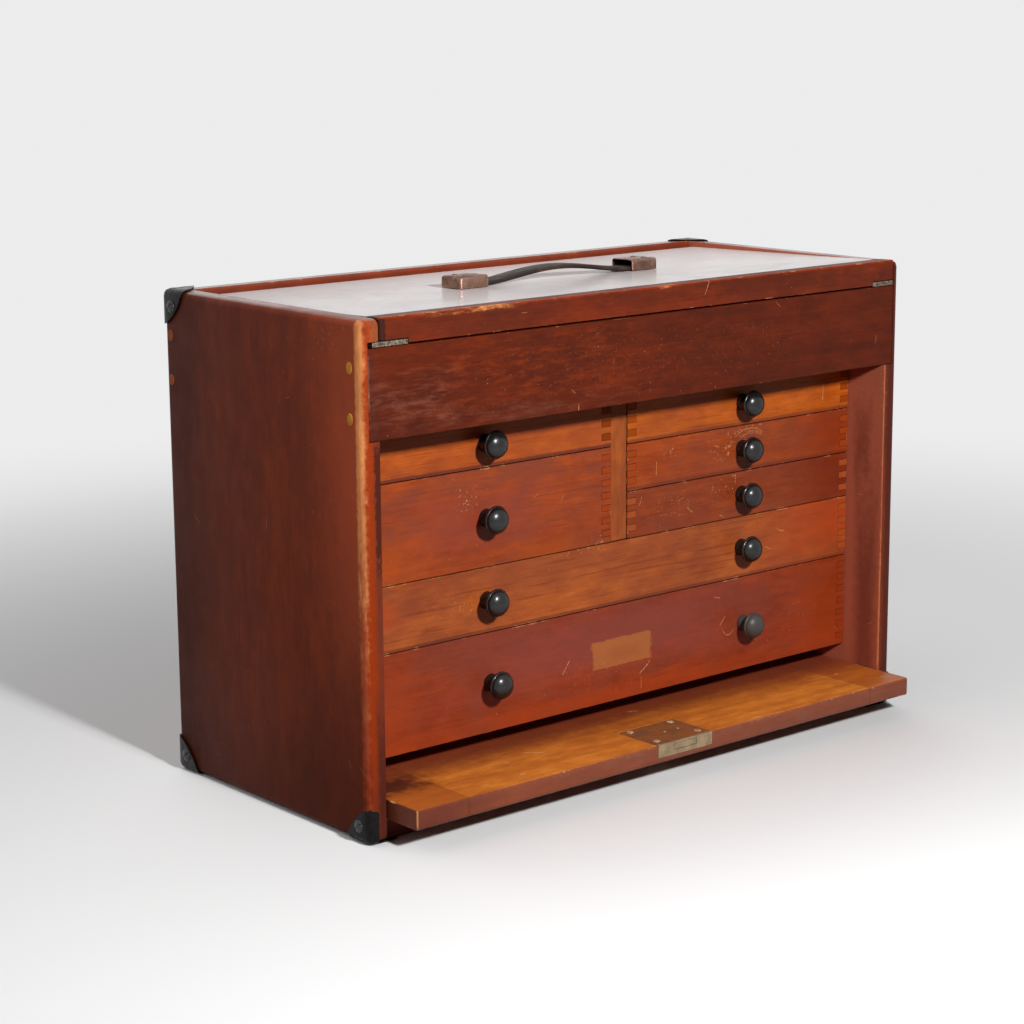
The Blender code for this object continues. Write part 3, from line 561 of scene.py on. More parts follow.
def edge_group():
    """Wear along the edges of a box: the middle one of the distances to its three pairs of faces is
    the distance to its nearest edge, broken up by noise."""
    tree, w, given, out = new_group(
        "Edge wear", {"Vector": "Vector", "Low": "Vector", "High": "Vector", "Width": "Float"},
        {"Rub": "Float", "Chip": "Float"})
    vector = given["Vector"]
    inside = w.vector("MINIMUM", w.vector("SUBTRACT", vector, given["Low"]),
                      w.vector("SUBTRACT", given["High"], vector))
    x, y, z = w.add("ShaderNodeSeparateXYZ", {"Vector": inside}).outputs
    middle = w.math("MAXIMUM", w.math("MINIMUM", x, y), w.math("MINIMUM", w.math("MAXIMUM", x, y), z))
    reach = w.math("DIVIDE", middle, given["Width"])
    coarse = w.noise(vector, 75.0, 4.0, 0.6)
    fine = w.noise(vector, 700.0, 2.0)
    w.feed(out["Rub"], w.fade(w.math("ADD", reach, w.math("MULTIPLY_ADD", coarse, 1.8, -0.9)), 1.0, 0.1))
    ragged = w.math("ADD", w.math("MULTIPLY_ADD", coarse, 6.0, -2.2),
                    w.math("MULTIPLY_ADD", fine, 1.4, -0.7))
    w.feed(out["Chip"], w.fade(w.math("ADD", reach, ragged), 0.6, 0.2))
    return tree


def nick_group():
    """Short scratches: in each cell of a flat Voronoi pattern a stroke through its point, at its own angle
    and with its own length and bend. Specks are dots at the points of a finer pattern, in loose
    crowds."""
    tree, w, given, out = new_group("Nicks", {"Vector": "Vector", "Scale": "Float", "Chance": "Float"},
                                    {"Strokes": "Float", "Specks": "Float"})
    cells = w.add("ShaderNodeTexVoronoi", {"Vector": given["Vector"], "Scale": given["Scale"]},
                  voronoi_dimensions="2D")
    red, green, blue = w.add("ShaderNodeSeparateColor", {"Color": cells.outputs["Color"]}).outputs
    off = w.vector("SUBTRACT", given["Vector"], cells.outputs["Position"])
    x, y, _ = w.add("ShaderNodeSeparateXYZ", {"Vector": off}).outputs
    angle = w.math("MULTIPLY", red, 2.0 * math.pi)
    cosine, sine = w.math("COSINE", angle), w.math("SINE", angle)
    along = w.math("ADD", w.math("MULTIPLY", x, cosine), w.math("MULTIPLY", y, sine))
    across = w.math("SUBTRACT", w.math("MULTIPLY", y, cosine), w.math("MULTIPLY", x, sine))
    bend = w.math("MULTIPLY_ADD", green, 60.0, -30.0)
    across = w.math("SUBTRACT", across, w.math("MULTIPLY", bend, w.math("MULTIPLY", along, along)))
    reach = w.math("MULTIPLY_ADD", blue, 0.0050, 0.0008)
    line = w.math("MULTIPLY", w.fade(w.math("ABSOLUTE", across), 0.00022, 0.00006),
                  w.fade(w.math("DIVIDE", w.math("ABSOLUTE", along), reach), 1.0, 0.5))
    lot = w.math("FRACT", w.math("MULTIPLY", w.math("ADD", red, w.math("ADD", green, blue)), 17.3))
    w.feed(out["Strokes"], w.math("MULTIPLY", line, w.math("LESS_THAN", lot, given["Chance"])))
    dots = w.add("ShaderNodeTexVoronoi", {"Vector": given["Vector"],
                                          "Scale": w.math("MULTIPLY", given["Scale"], 4.5)},
                 voronoi_dimensions="2D")
    one, two, _ = w.add("ShaderNodeSeparateColor", {"Color": dots.outputs["Color"]}).outputs
    size = w.math("MULTIPLY_ADD", two, 0.09, 0.03)
    ragged = w.math("MULTIPLY_ADD", w.noise(given["Vector"], 2500.0, 2.0), 0.10, -0.05)
    dot = w.fade(w.math("DIVIDE", w.math("ADD", dots.outputs["Distance"], ragged), size), 1.0, 0.4)
    crowd = w.fade(w.noise(given["Vector"], 26.0, 3.0), 0.46, 0.66)
    w.feed(out["Specks"], w.math("MULTIPLY", w.math("MULTIPLY", dot, crowd),
                                 w.math("LESS_THAN", one, w.math("MULTIPLY", given["Chance"], 2.5))))
    return tree


def stroke_group():
    """One scratch on a flat face: a parabola of the given bend through its centre, at its angle, with
    tapered ends and a broken line."""
    tree, w, given, out = new_group("Stroke", {"Vector": "Vector", "Centre": "Vector", "Angle": "Float",
                                               "Reach": "Float", "Width": "Float", "Bend": "Float"},
                                    {"Mask": "Float"})
    off = w.vector("SUBTRACT", given["Vector"], given["Centre"])
    x, y, _ = w.add("ShaderNodeSeparateXYZ", {"Vector": off}).outputs
    cosine, sine = w.math("COSINE", given["Angle"]), w.math("SINE", given["Angle"])
    along = w.math("ADD", w.math("MULTIPLY", x, cosine), w.math("MULTIPLY", y, sine))
    across = w.math("SUBTRACT", w.math("MULTIPLY", y, cosine), w.math("MULTIPLY", x, sine))
    across = w.math("SUBTRACT", across, w.math("MULTIPLY", given["Bend"], w.math("MULTIPLY", along, along)))
    shake = w.math("MULTIPLY_ADD", w.noise(given["Vector"], 400.0, 2.0), 0.0010, -0.0005)
    across = w.math("ABSOLUTE", w.math("ADD", across, shake))
    line = w.math("MULTIPLY", w.fade(w.math("DIVIDE", across, given["Width"]), 1.0, 0.3),
                  w.fade(w.math("DIVIDE", w.math("ABSOLUTE", along), given["Reach"]), 1.0, 0.7))
    broken = w.fade(w.noise(given["Vector"], 900.0, 2.0), 0.35, 0.55)
    w.feed(out["Mask"], w.math("MULTIPLY", line, broken))
    return tree


def patch_group():
    """A patch round a centre: 1 inside half sizes along each axis, with a soft and ragged edge."""
    tree, w, given, out = new_group(
        "Patch", {"Vector": "Vector", "Centre": "Vector", "Half": "Vector", "Soft": "Float",
                  "Ragged": "Float"}, {"Mask": "Float"})
    off = w.vector("ABSOLUTE", w.vector("DIVIDE", w.vector("SUBTRACT", given["Vector"], given["Centre"]),
                                        given["Half"]))
    x, y, z = w.add("ShaderNodeSeparateXYZ", {"Vector": off}).outputs
    reach = w.math("MAXIMUM", x, w.math("MAXIMUM", y, z))
    uneven = w.math("SUBTRACT", w.noise(given["Vector"], 150.0, 4.0, 0.65), 0.5)
    torn = w.math("MULTIPLY", uneven, given["Ragged"])
    w.feed(out["Mask"], w.fade(w.math("ADD", reach, torn), 1.0, w.math("SUBTRACT", 1.0, given["Soft"])))
    return tree


def tarnish_group():
    """Metal rubbed bright in places and dull in others, with pits."""
    tree, w, given, out = new_group(
        "Tarnish", {"Vector": "Vector", "Bright": "Color", "Dull": "Color", "Scale": "Float"},
        {"Color": "Color", "Dullness": "Float", "Height": "Float"})
    clouds = w.noise(given["Vector"], given["Scale"], 4.0, 0.6)
    specks = w.noise(given["Vector"], w.math("MULTIPLY", given["Scale"], 7.0), 2.0)
    dull = w.fade(w.math("MULTIPLY_ADD", clouds, 0.75, w.math("MULTIPLY", specks, 0.25)), 0.38, 0.62)
    w.feed(out["Color"], w.blend(dull, given["Bright"], given["Dull"]))
    w.feed(out["Dullness"], dull)
    w.feed(out["Height"], specks)
    return tree


GRAIN = grain_group()
EDGES = edge_group()
NICKS = nick_group()
STROKE = stroke_group()
PATCH = patch_group()
TARNISH = tarnish_group()

# Turns that bring the grain's direction to X, and the axes of the flat face that carries the scratches
GRAIN_TURN = {"X": (0.0, 0.0, 0.0), "Y": (0.0, 0.0, -math.pi / 2), "Z": (0.0, math.pi / 2, 0.0)}
FLAT_FACE = {"XZ": (0, 2), "YZ": (1, 2), "XY": (0, 1)}
# Half size of a patch that runs past every edge, and how far hands rub in from an edge
FAR = 1.0
RUB_WIDTH = 0.003


def tint(shade, factor=1.0):
    """A colour with its fourth number, lightened or darkened by a factor."""
    return (*(min(1.0, part * factor) for part in shade), 1.0)


def toned(shade, *factors):
    """A colour times one factor, or times one factor each for its red, green and blue."""
    return tuple(part * factor for part, factor in zip(shade, factors * (3 // len(factors))))


def new_material(name):
    """A material, its wiring, its shader and its object coordinates."""
    material = bpy.data.materials.new(name)
    material.use_nodes = True
    w = Wiring(material.node_tree)
    shader = material.node_tree.nodes["Principled BSDF"]
    return material, w, shader, w.add("ShaderNodeTexCoord").outputs["Object"]


def box_of(node):
    """Lowest and highest corner of a node, as tuples."""
    low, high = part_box(node)
    return tuple(low), tuple(high)


def wood(name, along, face, dark, light, cloud, box, woods, seed, in_lid=False, roughness=0.38,
         specular=0.08, bands=34.0, clouding=0.6, lines=0.2, rub=None, chips=0.4, chip_width=0.0010,
         nicks=0.4, patches=(), streaks=(), marks=(), mark_width=0.0005, crowds=(), gloss=None, sheen=0.0,
         relief=0.35):
    """A polished and worn wood: grain, clouds of old polish, rubbed and chipped edges, nicks and patches.

    The grain runs along one axis, and the seed moves it. A rub is the (colour, share) of rubbed edges. A
    patch is (centre, half sizes, softness, raggedness, colour, share), a streak is a patch that shows only in
    streaks along the grain, a mark is (place, angle, reach, bend, share) of one scratch on the face that
    carries them, a crowd is (centre, half sizes, share) of many small flecks, and gloss is the (centre, half
    sizes) of a part that has kept its varnish."""
    material, w, shader, place = new_material(name)
    if in_lid:
        place = w.add("ShaderNodeMapping", {"Vector": place, "Location": tuple(PIVOT),
                                            "Rotation": (TILT, 0.0, 0.0)},
                      vector_type="TEXTURE").outputs["Vector"]

    def patch_mask(centre, half, soft, ragged):
        return w.group(PATCH, Vector=place, Centre=centre, Half=half, Soft=soft, Ragged=ragged)["Mask"]

    shift = (0.71 * seed, 0.37 * seed, 0.53 * seed)
    fibre = w.scaled(place, (1.0, 1.0, 1.0), shift, GRAIN_TURN[along])
    grain = w.group(GRAIN, Vector=fibre, Dark=tint(dark), Light=tint(light), Cloud=tint(cloud),
                    Clouding=clouding, Bands=bands, Lines=lines)
    shade = grain["Color"]
    dull = w.math("MULTIPLY", grain["Clouds"], 0.25)
    if rub:
        edges = w.group(EDGES, Vector=place, Low=box[0], High=box[1], Width=RUB_WIDTH)
        shade = w.blend(w.math("MULTIPLY", edges["Rub"], rub[1]), shade, tint(rub[0]))
    for centre, half, soft, ragged, patch_colour, amount in patches:
        mask = patch_mask(centre, half, soft, ragged)
        grained = w.blend(1.0, grain["Color"], tint(patch_colour, 2.5), "MULTIPLY")
        fibrous = w.blend(0.35, tint(patch_colour), grained)
        shade = w.blend(w.math("MULTIPLY", mask, amount), shade, fibrous)
    for centre, half, soft, ragged, patch_colour, amount in streaks:
        mask = patch_mask(centre, half, soft, ragged)
        streaky = w.fade(w.noise(w.scaled(fibre, (0.22, 1.0, 1.0)), 260.0, 5.0, 0.72), 0.42, 0.72)
        mask = w.math("MULTIPLY", w.math("MULTIPLY", mask, streaky), amount)
        shade = w.blend(mask, shade, tint(patch_colour))
        dull = w.math("MAXIMUM", dull, mask)
    small = w.group(EDGES, Vector=place, Low=box[0], High=box[1], Width=chip_width)["Chip"]
    worn = w.math("MULTIPLY", small, chips)
    parts = w.add("ShaderNodeSeparateXYZ", {"Vector": place}).outputs
    first, second = FLAT_FACE[face]
    flat = w.add("ShaderNodeCombineXYZ", {"X": parts[first], "Y": parts[second], "Z": 0.0}).outputs["Vector"]
    if nicks or crowds:
        seeded = w.vector("ADD", flat, (0.37 * seed, 0.59 * seed, 0.0))
        hits = w.group(NICKS, Vector=seeded, Scale=48.0, Chance=0.12 * nicks)
        struck = w.math("MAXIMUM", hits["Strokes"], hits["Specks"])
        worn = w.math("MAXIMUM", worn, w.math("MULTIPLY", struck, woods.scratches))
        if crowds:
            found = w.fade(w.noise(w.scaled(place, (1.0, 1.0, 1.0), shift), 420.0, 5.0, 0.75), 0.57, 0.65)
        for centre, half, amount in crowds:
            mask = patch_mask(centre, half, 0.9, 0.8)
            worn = w.math("MAXIMUM", worn, w.math("MULTIPLY", w.math("MULTIPLY", mask, found), amount))
    for at, angle, reach, bend, amount in marks:
        line = w.group(STROKE, Vector=flat, Centre=(*at, 0.0), Angle=math.radians(angle), Reach=reach,
                       Width=mark_width, Bend=bend)["Mask"]
        worn = w.math("MAXIMUM", worn, w.math("MULTIPLY", line, amount))
    w.feed(shader.inputs["Base Color"], w.blend(worn, shade, tint(woods.chipped)))
    cloudy = w.math("MULTIPLY_ADD", w.noise(place, 45.0, 3.0), 0.20, roughness - 0.10)
    rough = w.math("MULTIPLY", w.math("MAXIMUM", worn, dull), 0.3)
    w.feed(shader.inputs["Roughness"], w.math("ADD", cloudy, rough))
    if gloss:
        mask = patch_mask(*gloss, 0.4, 0.2)
        w.feed(shader.inputs["Coat Weight"], w.math("MULTIPLY", mask, w.math("SUBTRACT", 1.0, dull)))
    shader.inputs["Coat Roughness"].default_value = 0.20
    shader.inputs["Sheen Weight"].default_value = sheen
    shader.inputs["Sheen Roughness"].default_value = 0.35
    shader.inputs["Specular IOR Level"].default_value = specular
    height = w.math("SUBTRACT", w.math("MULTIPLY", grain["Height"], 0.25), worn)
    bump = w.add("ShaderNodeBump", {"Strength": relief, "Distance": 0.0003, "Height": height})
    w.feed(shader.inputs["Normal"], bump.outputs["Normal"])
    return material


def metal(name, bright, dull, scale, roughness, box=None, bare=None, metallic=1.0, specular=0.5,
          wear_width=0.0015):
    """A worn metal: bright and dull clouds, pits, and bare edges where a box is given."""
    material, w, shader, place = new_material(name)
    tarnish = w.group(TARNISH, Vector=place, Bright=tint(bright), Dull=tint(dull), Scale=scale)
    shade = tarnish["Color"]
    if box:
        edges = w.group(EDGES, Vector=place, Low=box[0], High=box[1], Width=wear_width)
        shade = w.blend(w.math("MULTIPLY", edges["Rub"], 0.7), shade, tint(bare))
    w.feed(shader.inputs["Base Color"], shade)
    w.feed(shader.inputs["Roughness"], w.math("MULTIPLY_ADD", tarnish["Dullness"], 0.25, roughness))
    shader.inputs["Metallic"].default_value = metallic
    shader.inputs["Specular IOR Level"].default_value = specular
    bump = w.add("ShaderNodeBump", {"Strength": 0.4, "Distance": 0.0002, "Height": tarnish["Height"]})
    w.feed(shader.inputs["Normal"], bump.outputs["Normal"])
    return material


def polish(name, shade_dark, shade_worn, roughness, specular):
    """Turned and ebonised wood: near black polish with fine rubbing and a little dust."""
    material, w, shader, place = new_material(name)
    rubbed = w.fade(w.noise(place, 260.0, 4.0, 0.7), 0.55, 0.75)
    fine = w.noise(w.scaled(place, (1.0, 0.1, 1.0)), 1500.0, 2.0)
    shade = w.blend(w.math("MULTIPLY", rubbed, 0.5), tint(shade_dark), tint(shade_worn))
    w.feed(shader.inputs["Base Color"], shade)
    w.feed(shader.inputs["Roughness"], w.math("ADD", w.math("MULTIPLY_ADD", rubbed, 0.12, roughness),
                                              w.math("MULTIPLY_ADD", fine, 0.08, -0.04)))
    shader.inputs["Specular IOR Level"].default_value = specular
    bump = w.add("ShaderNodeBump", {"Strength": 0.12, "Distance": 0.0002, "Height": fine})
    w.feed(shader.inputs["Normal"], bump.outputs["Normal"])
    return material


def hide(name, fittings):
    """Old strap leather: pebbled grain, dark creases and a rubbed face."""
    material, w, shader, place = new_material(name)
    pebbles = w.add("ShaderNodeTexVoronoi", {"Vector": place, "Scale": 1400.0}).outputs["Distance"]
    worn = w.fade(w.noise(w.scaled(place, (0.3, 1.0, 1.0)), 130.0, 4.0, 0.65), 0.42, 0.66)
    crack = w.fade(w.noise(w.scaled(place, (1.0, 0.15, 0.3)), 700.0, 2.0), 0.58, 0.70)
    shade = w.blend(worn, tint(fittings.leather_dark), tint(fittings.leather))
    shade = w.blend(w.math("MULTIPLY", crack, 0.6), shade, tint(fittings.leather_dark, 0.6))
    w.feed(shader.inputs["Base Color"], shade)
    w.feed(shader.inputs["Roughness"], w.math("MULTIPLY_ADD", worn, -0.15, 0.58))
    shader.inputs["Specular IOR Level"].default_value = 0.22
    height = w.math("SUBTRACT", w.math("MULTIPLY", pebbles, 0.5), crack)
    bump = w.add("ShaderNodeBump", {"Strength": 0.5, "Distance": 0.0003, "Height": height})
    w.feed(shader.inputs["Normal"], bump.outputs["Normal"])
    return material


def side_wear(woods, hand, outer, box):
    """Patches, streaks and crowds of flecks on a side board. The left board shows its outer face, lighter
    towards its front and darker towards its back and foot, and its front edge, worn by hands, with a painted
    highlight down its round edge. The right board shows its inner face, painted lighter for the light that
    falls on it and dulled beside the opening."""
    (_, front, _), (_, rear, top) = box
    inner = outer - hand * SIDE_THICK
    # back and low: the side boards darker towards their back and their foot
    back = ((outer, rear, 0.0), (0.004, 0.20 * top, 2.0 * top), 0.85, 0.3, woods.shaded, 0.72)
    low = ((outer, 0.0, 0.0), (0.004, FAR, 0.30 * top), 0.95, 0.3, woods.shaded, 0.45)
    if hand > 0:
        # lit: painted light, the inner face beside the drawers made lighter than the case wood
        lit = ((inner, 0.0, 0.5 * top), (0.0012, FAR, FAR), 0.3, 0.0, woods.inner, 0.80)
        stale = ((inner, front + 0.014, 0.20 * top), (0.0012, 0.016, 0.45 * top), 0.9, 0.6,
                 woods.violet, 0.60)
        smudge = ((inner, front + 0.020, 0.60 * top), (0.0012, 0.012, 0.12 * top), 0.9, 1.0,
                  woods.violet, 0.45)
        dull = ((outer, front, 0.5 * top), (0.0120, 0.0030, FAR), 0.4, 0.5, woods.violet, 0.85)
        arris = ((inner, front, 0.20 * top), (0.0009, 0.0014, 0.22 * top), 0.5, 3.4, woods.streak, 0.55)
        nib = ((inner, front, 0.66 * top), (0.0009, 0.0014, 0.24 * top), 0.7, 4.5, woods.streak, 0.30)
        scuffed = (((inner, front + 0.018, 0.71 * top), (0.004, 0.012, 0.02 * top), 0.5),
                   ((inner, front + 0.003, 0.76 * top), (0.006, 0.005, 0.16 * top), 0.5))
        return (back, low, lit, stale, smudge, dull, arris, nib), (), scuffed
    hands = ((outer, front, 0.76 * top), (0.004, 0.075, 0.52 * top), 0.95, 0.25, woods.handled, 0.62)
    palm = ((outer, front, 0.57 * top), (0.004, 0.044, 0.36 * top), 0.85, 0.35, woods.handled, 0.66)
    nose = ((outer, front, 0.58 * top), (0.0100, 0.0085, 0.62 * top), 0.45, 0.6, woods.rubbed, 0.95)
    # thin, pale and line: a painted highlight down the left board's round front edge, on wood that is also
    # rubbed paler there
    thin = ((outer, front + 0.0036, 0.44 * top), (0.0036, 0.0032, 0.46 * top), 0.60, 1.2, woods.handled, 0.90)
    pale = ((outer, front + 0.0040, 0.88 * top), (0.0042, 0.0040, 0.50 * top), 0.60, 0.9, woods.streak, 0.88)
    crown = ((inner, front, 0.96 * top), (0.0110, 0.0045, 0.06 * top), 0.6, 1.6, woods.streak, 0.16)
    foot = ((inner, front, 0.06 * top), (0.0085, 0.0040, 0.26 * top), 0.6, 0.8, woods.violet, 0.85)
    dirt = ((inner, front, 0.65 * top), (0.0050, 0.0040, 0.135 * top), 0.35, 1.8, woods.dirt, 0.75)
    # line: painted highlight along the round front edge, broken into streaks
    line = ((outer, front + 0.0036, 0.70 * top), (0.0034, 0.0040, 0.50 * top), 0.7, 0.9, woods.streak, 0.8)
    grazed = (((outer, front + 0.035, top - 0.018), (0.01, 0.045, 0.022), 0.15),
              ((outer, front + 0.004, 0.62 * top), (0.01, 0.006, 0.35 * top), 0.35))
    return (back, low, hands, palm, nose, thin, pale, crown, foot, dirt), (line,), grazed


def fascia_wood(woods):
    """The fascia's finish: dull red grain with warm streaks, pale bloom at the left and a scuffed end."""
    box = box_of("front_fascia")
    (left, front, foot), (_, _, top) = box
    middle = 0.5 * (foot + top)
    ember = ((-0.115, front, middle + 0.004), (0.16, 0.01, 0.034), 0.9, 0.8, woods.rubbed, 0.36)
    bloom = ((-0.205, front, middle - 0.004), (0.050, 0.01, 0.022), 0.9, 0.9, woods.milky, 0.40)
    haze = ((-0.12, front, foot + 0.004), (0.13, 0.01, 0.012), 0.8, 0.9, woods.milky, 0.25)
    end = ((left, front, middle), (0.0085, 0.002, FAR), 0.5, 0.6, woods.violet, 0.35)
    scuff = ((left, front, middle + 0.006), (0.0013, 0.002, 0.020), 0.5, 2.5, woods.milky, 0.9)
    flecks = (((0.0, front, middle), (0.22, 0.01, 0.03), 0.10),)
    nick = ((-0.0663, 0.2568), 88.0, 0.0024, 0.0, 0.6)
    return wood("front_fascia", "X", "XZ", woods.front_dark, woods.front_light, woods.front_cloud, box,
                woods, 3.0, roughness=0.42, chips=0.25, bands=48.0, clouding=0.40,
                streaks=(ember, bloom, haze), patches=(end, scuff), crowds=flecks, marks=(nick,))


class CHEST_OT_case(bpy.types.Operator):
    """Ease the case's boards and finish their wood"""
    bl_idname = "chest.case"
    bl_label = "Case boards"

    def execute(self, context):
        woods = context.scene.chest_woods
        case_tones = (woods.case_dark, woods.case_light, woods.case_cloud)
        floor_tones = [toned(tone, 0.6) for tone in (woods.pale_dark, woods.pale_light, woods.pale_dark)]
        for number, (node, hand) in enumerate(SIDES.items()):
            box = box_of(node)
            outer = box[0 if hand < 0 else 1][0]
            patches, streaks, crowds = side_wear(woods, hand, outer, box)
            upper = ((outer, 0.0, box[1][2]), (0.03, FAR, 0.0012))
            made = wood(node, "Z", "YZ", *case_tones, box, woods, 1.0 + number, specular=0.04, chips=0.35,
                        nicks=0.25, patches=patches, streaks=streaks, crowds=crowds, gloss=upper)
            softened(node, made, SIDE_EASING * woods.eased, "case_wood", "case")
        softened("front_fascia", fascia_wood(woods), woods.eased, "front_wood", "case")
        for number, node in enumerate(("back_rail", "base_board")):
            box = box_of(node)
            upper = ((0.0, box[0][1], box[1][2]), (FAR, 0.1, 0.0022))
            made = wood(node, "X", "XZ", *case_tones, box, woods, 4.0 + number, rub=(woods.rubbed, 0.3),
                        nicks=0.2, gloss=upper)
            softened(node, made, woods.eased, "case_wood", "case")
        made = wood("drawer_divider", "Z", "XZ", toned(woods.long, 0.60), woods.long, woods.drawer_cloud,
                    box_of("drawer_divider"), woods, 6.0, chips=0.2, nicks=0.3)
        softened("drawer_divider", made, woods.eased, "front_wood", "case")
        finish_node("back_panel", wood("back_panel", "X", "XZ", *case_tones, box_of("back_panel"), woods, 7.0,
                                       roughness=0.55))
        for number, node in enumerate(("case_floor", "till_floor")):
            finish_node(node, wood(node, "X", "XY", *floor_tones, box_of(node), woods, 8.0 + number,
                                   roughness=0.6))
        return {"FINISHED"}


# Plugs in a side board: distance behind its front, and height
PLUG_PLACES = ((0.0122, 0.2988), (0.0123, 0.2675), (0.2090, 0.2692), (0.2087, 0.2985))


class CHEST_OT_plugs(bpy.types.Operator):
    """Set the pale plugs over the screws that hold fascia and back rail"""
    bl_idname = "chest.plugs"
    bl_label = "Side plugs"

    def execute(self, context):
        woods = context.scene.chest_woods
        fittings = context.scene.chest_fittings
        radius = fittings.plug_radius
        profile = np.concatenate([[(0.0, 0.00022)],
                                  arc((0.90 * radius, 0.00012), (0.10 * radius, 0.0001), 90, 0, 4),
                                  [(radius, -0.001), (0.0, -0.001)]])
        plugs = []
        for node, hand in SIDES.items():
            low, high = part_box(node)
            outer = low.x if hand < 0 else high.x
            plugs += [turned(profile, (outer, low.y + y, z), (hand, 0.0, 0.0), 32,
                             stretch=fittings.plug_stretch) for y, z in PLUG_PLACES]
        surface = joined(*plugs)
        low, high = (tuple(corner) for corner in (surface[0].min(axis=0), surface[0].max(axis=0)))
        dim = ((0.0, high[1], low[2]), (FAR, 0.10, FAR), 0.3, 0.0, toned(woods.handled, 0.5), 0.85)
        made = wood("plug_wood", "Z", "YZ", toned(woods.plug, 0.75), woods.plug, woods.rubbed, (low, high),
                    woods, 10.0, bands=300.0, clouding=0.8, chips=0.0, nicks=0.0, patches=(dim,))
        show("side_plugs", mesh_of("side_plugs", *surface), made, "case", "pale_wood")
        return {"FINISHED"}


# Scratches on drawer fronts: place (x, z), angle, reach, bend and share
DRAWER_MARKS = {
    "deep": (((0.0997, 0.0802), 50.0, 0.0046, 0.0, 0.55), ((0.1050, 0.0690), -7.0, 0.0072, 120.0, 0.6),
             ((0.0246, 0.0600), 37.0, 0.0070, 12.0, 0.8), ((0.0210, 0.0496), 88.0, 0.0052, 0.0, 0.35),
             ((0.0940, 0.0980), -15.0, 0.0031, 30.0, 0.5), ((-0.0483, 0.0730), 54.0, 0.0062, 0.0, 0.65)),
    "long": (((0.1450, 0.1264), -21.0, 0.0034, 30.0, 0.5), ((0.1575, 0.1374), -18.0, 0.0046, 40.0, 0.55)),
    "right_upper": (((0.1995, 0.2330), 89.0, 0.0068, 0.0, 0.6),),
    "right_middle": (((0.1245, 0.2160), 0.0, 0.0160, -24.0, 0.55),
                     ((0.1260, 0.2135), 4.0, 0.0120, -30.0, 0.45),
                     ((0.1300, 0.2120), -8.0, 0.0100, -26.0, 0.35),
                     ((0.0345, 0.1985), 88.0, 0.0056, 0.0, 0.5)),
    "right_lower": (((0.0200, 0.1780), 70.0, 0.0040, 20.0, 0.4), ((0.1110, 0.1819), 88.0, 0.0038, 0.0, 0.6),
                    ((0.1090, 0.1840), 5.0, 0.0026, 0.0, 0.5), ((0.0666, 0.1651), -40.0, 0.0040, 30.0, 0.5),
                    ((0.0982, 0.1560), -30.0, 0.0032, 0.0, 0.5), ((0.0575, 0.1739), 20.0, 0.0028, 0.0, 0.4),
                    ((0.0886, 0.1763), 75.0, 0.0036, 20.0, 0.4)),
}
# Crowds of specks on drawer fronts: centre (x, z), half sizes and share
DRAWER_CROWDS = {
    "left_lower": (((-0.133, 0.199), (0.012, 0.012), 0.7), ((-0.019, 0.152), (0.010, 0.014), 0.8)),
    "long": (((-0.14, 0.13), (0.03, 0.012), 0.4), ((-0.03, 0.152), (0.03, 0.006), 0.5)),
    "right_middle": (((0.120, 0.213), (0.030, 0.010), 0.75), ((0.100, 0.203), (0.022, 0.012), 0.6),
                     ((0.046, 0.209), (0.012, 0.008), 0.5)),
    "right_lower": (((0.105, 0.176), (0.024, 0.012), 0.65), ((0.050, 0.170), (0.030, 0.014), 0.45)),
    "deep": (((-0.020, 0.066), (0.060, 0.020), 0.12),),
}
# Finger ends of a drawer: their share of the front's light red, green and blue
FINGER_ENDS = {"left_upper": (0.42, 0.42, 0.42), "left_lower": (0.80, 0.90, 1.1),
               "right_upper": (0.50, 0.50, 0.50), "right_middle": (0.78, 0.9, 1.1),
               "right_lower": (1.18, 1.75, 2.0), "long": (0.80, 0.78, 0.80), "deep": (0.82, 0.90, 1.0)}
# Share of the dark band along the foot of a drawer front
FOOTS = {"left_upper": 0.85, "right_upper": 0.6, "right_middle": 0.5, "long": 0.6}
# How cloudy a drawer front is, and how much its dark lines show
CLOUDING = {"left_upper": 0.35, "right_upper": 0.35, "left_lower": 0.75, "long": 0.45}
LINES = {"long": 0.45, "left_upper": 0.45, "right_upper": 0.45, "left_lower": 0.25}


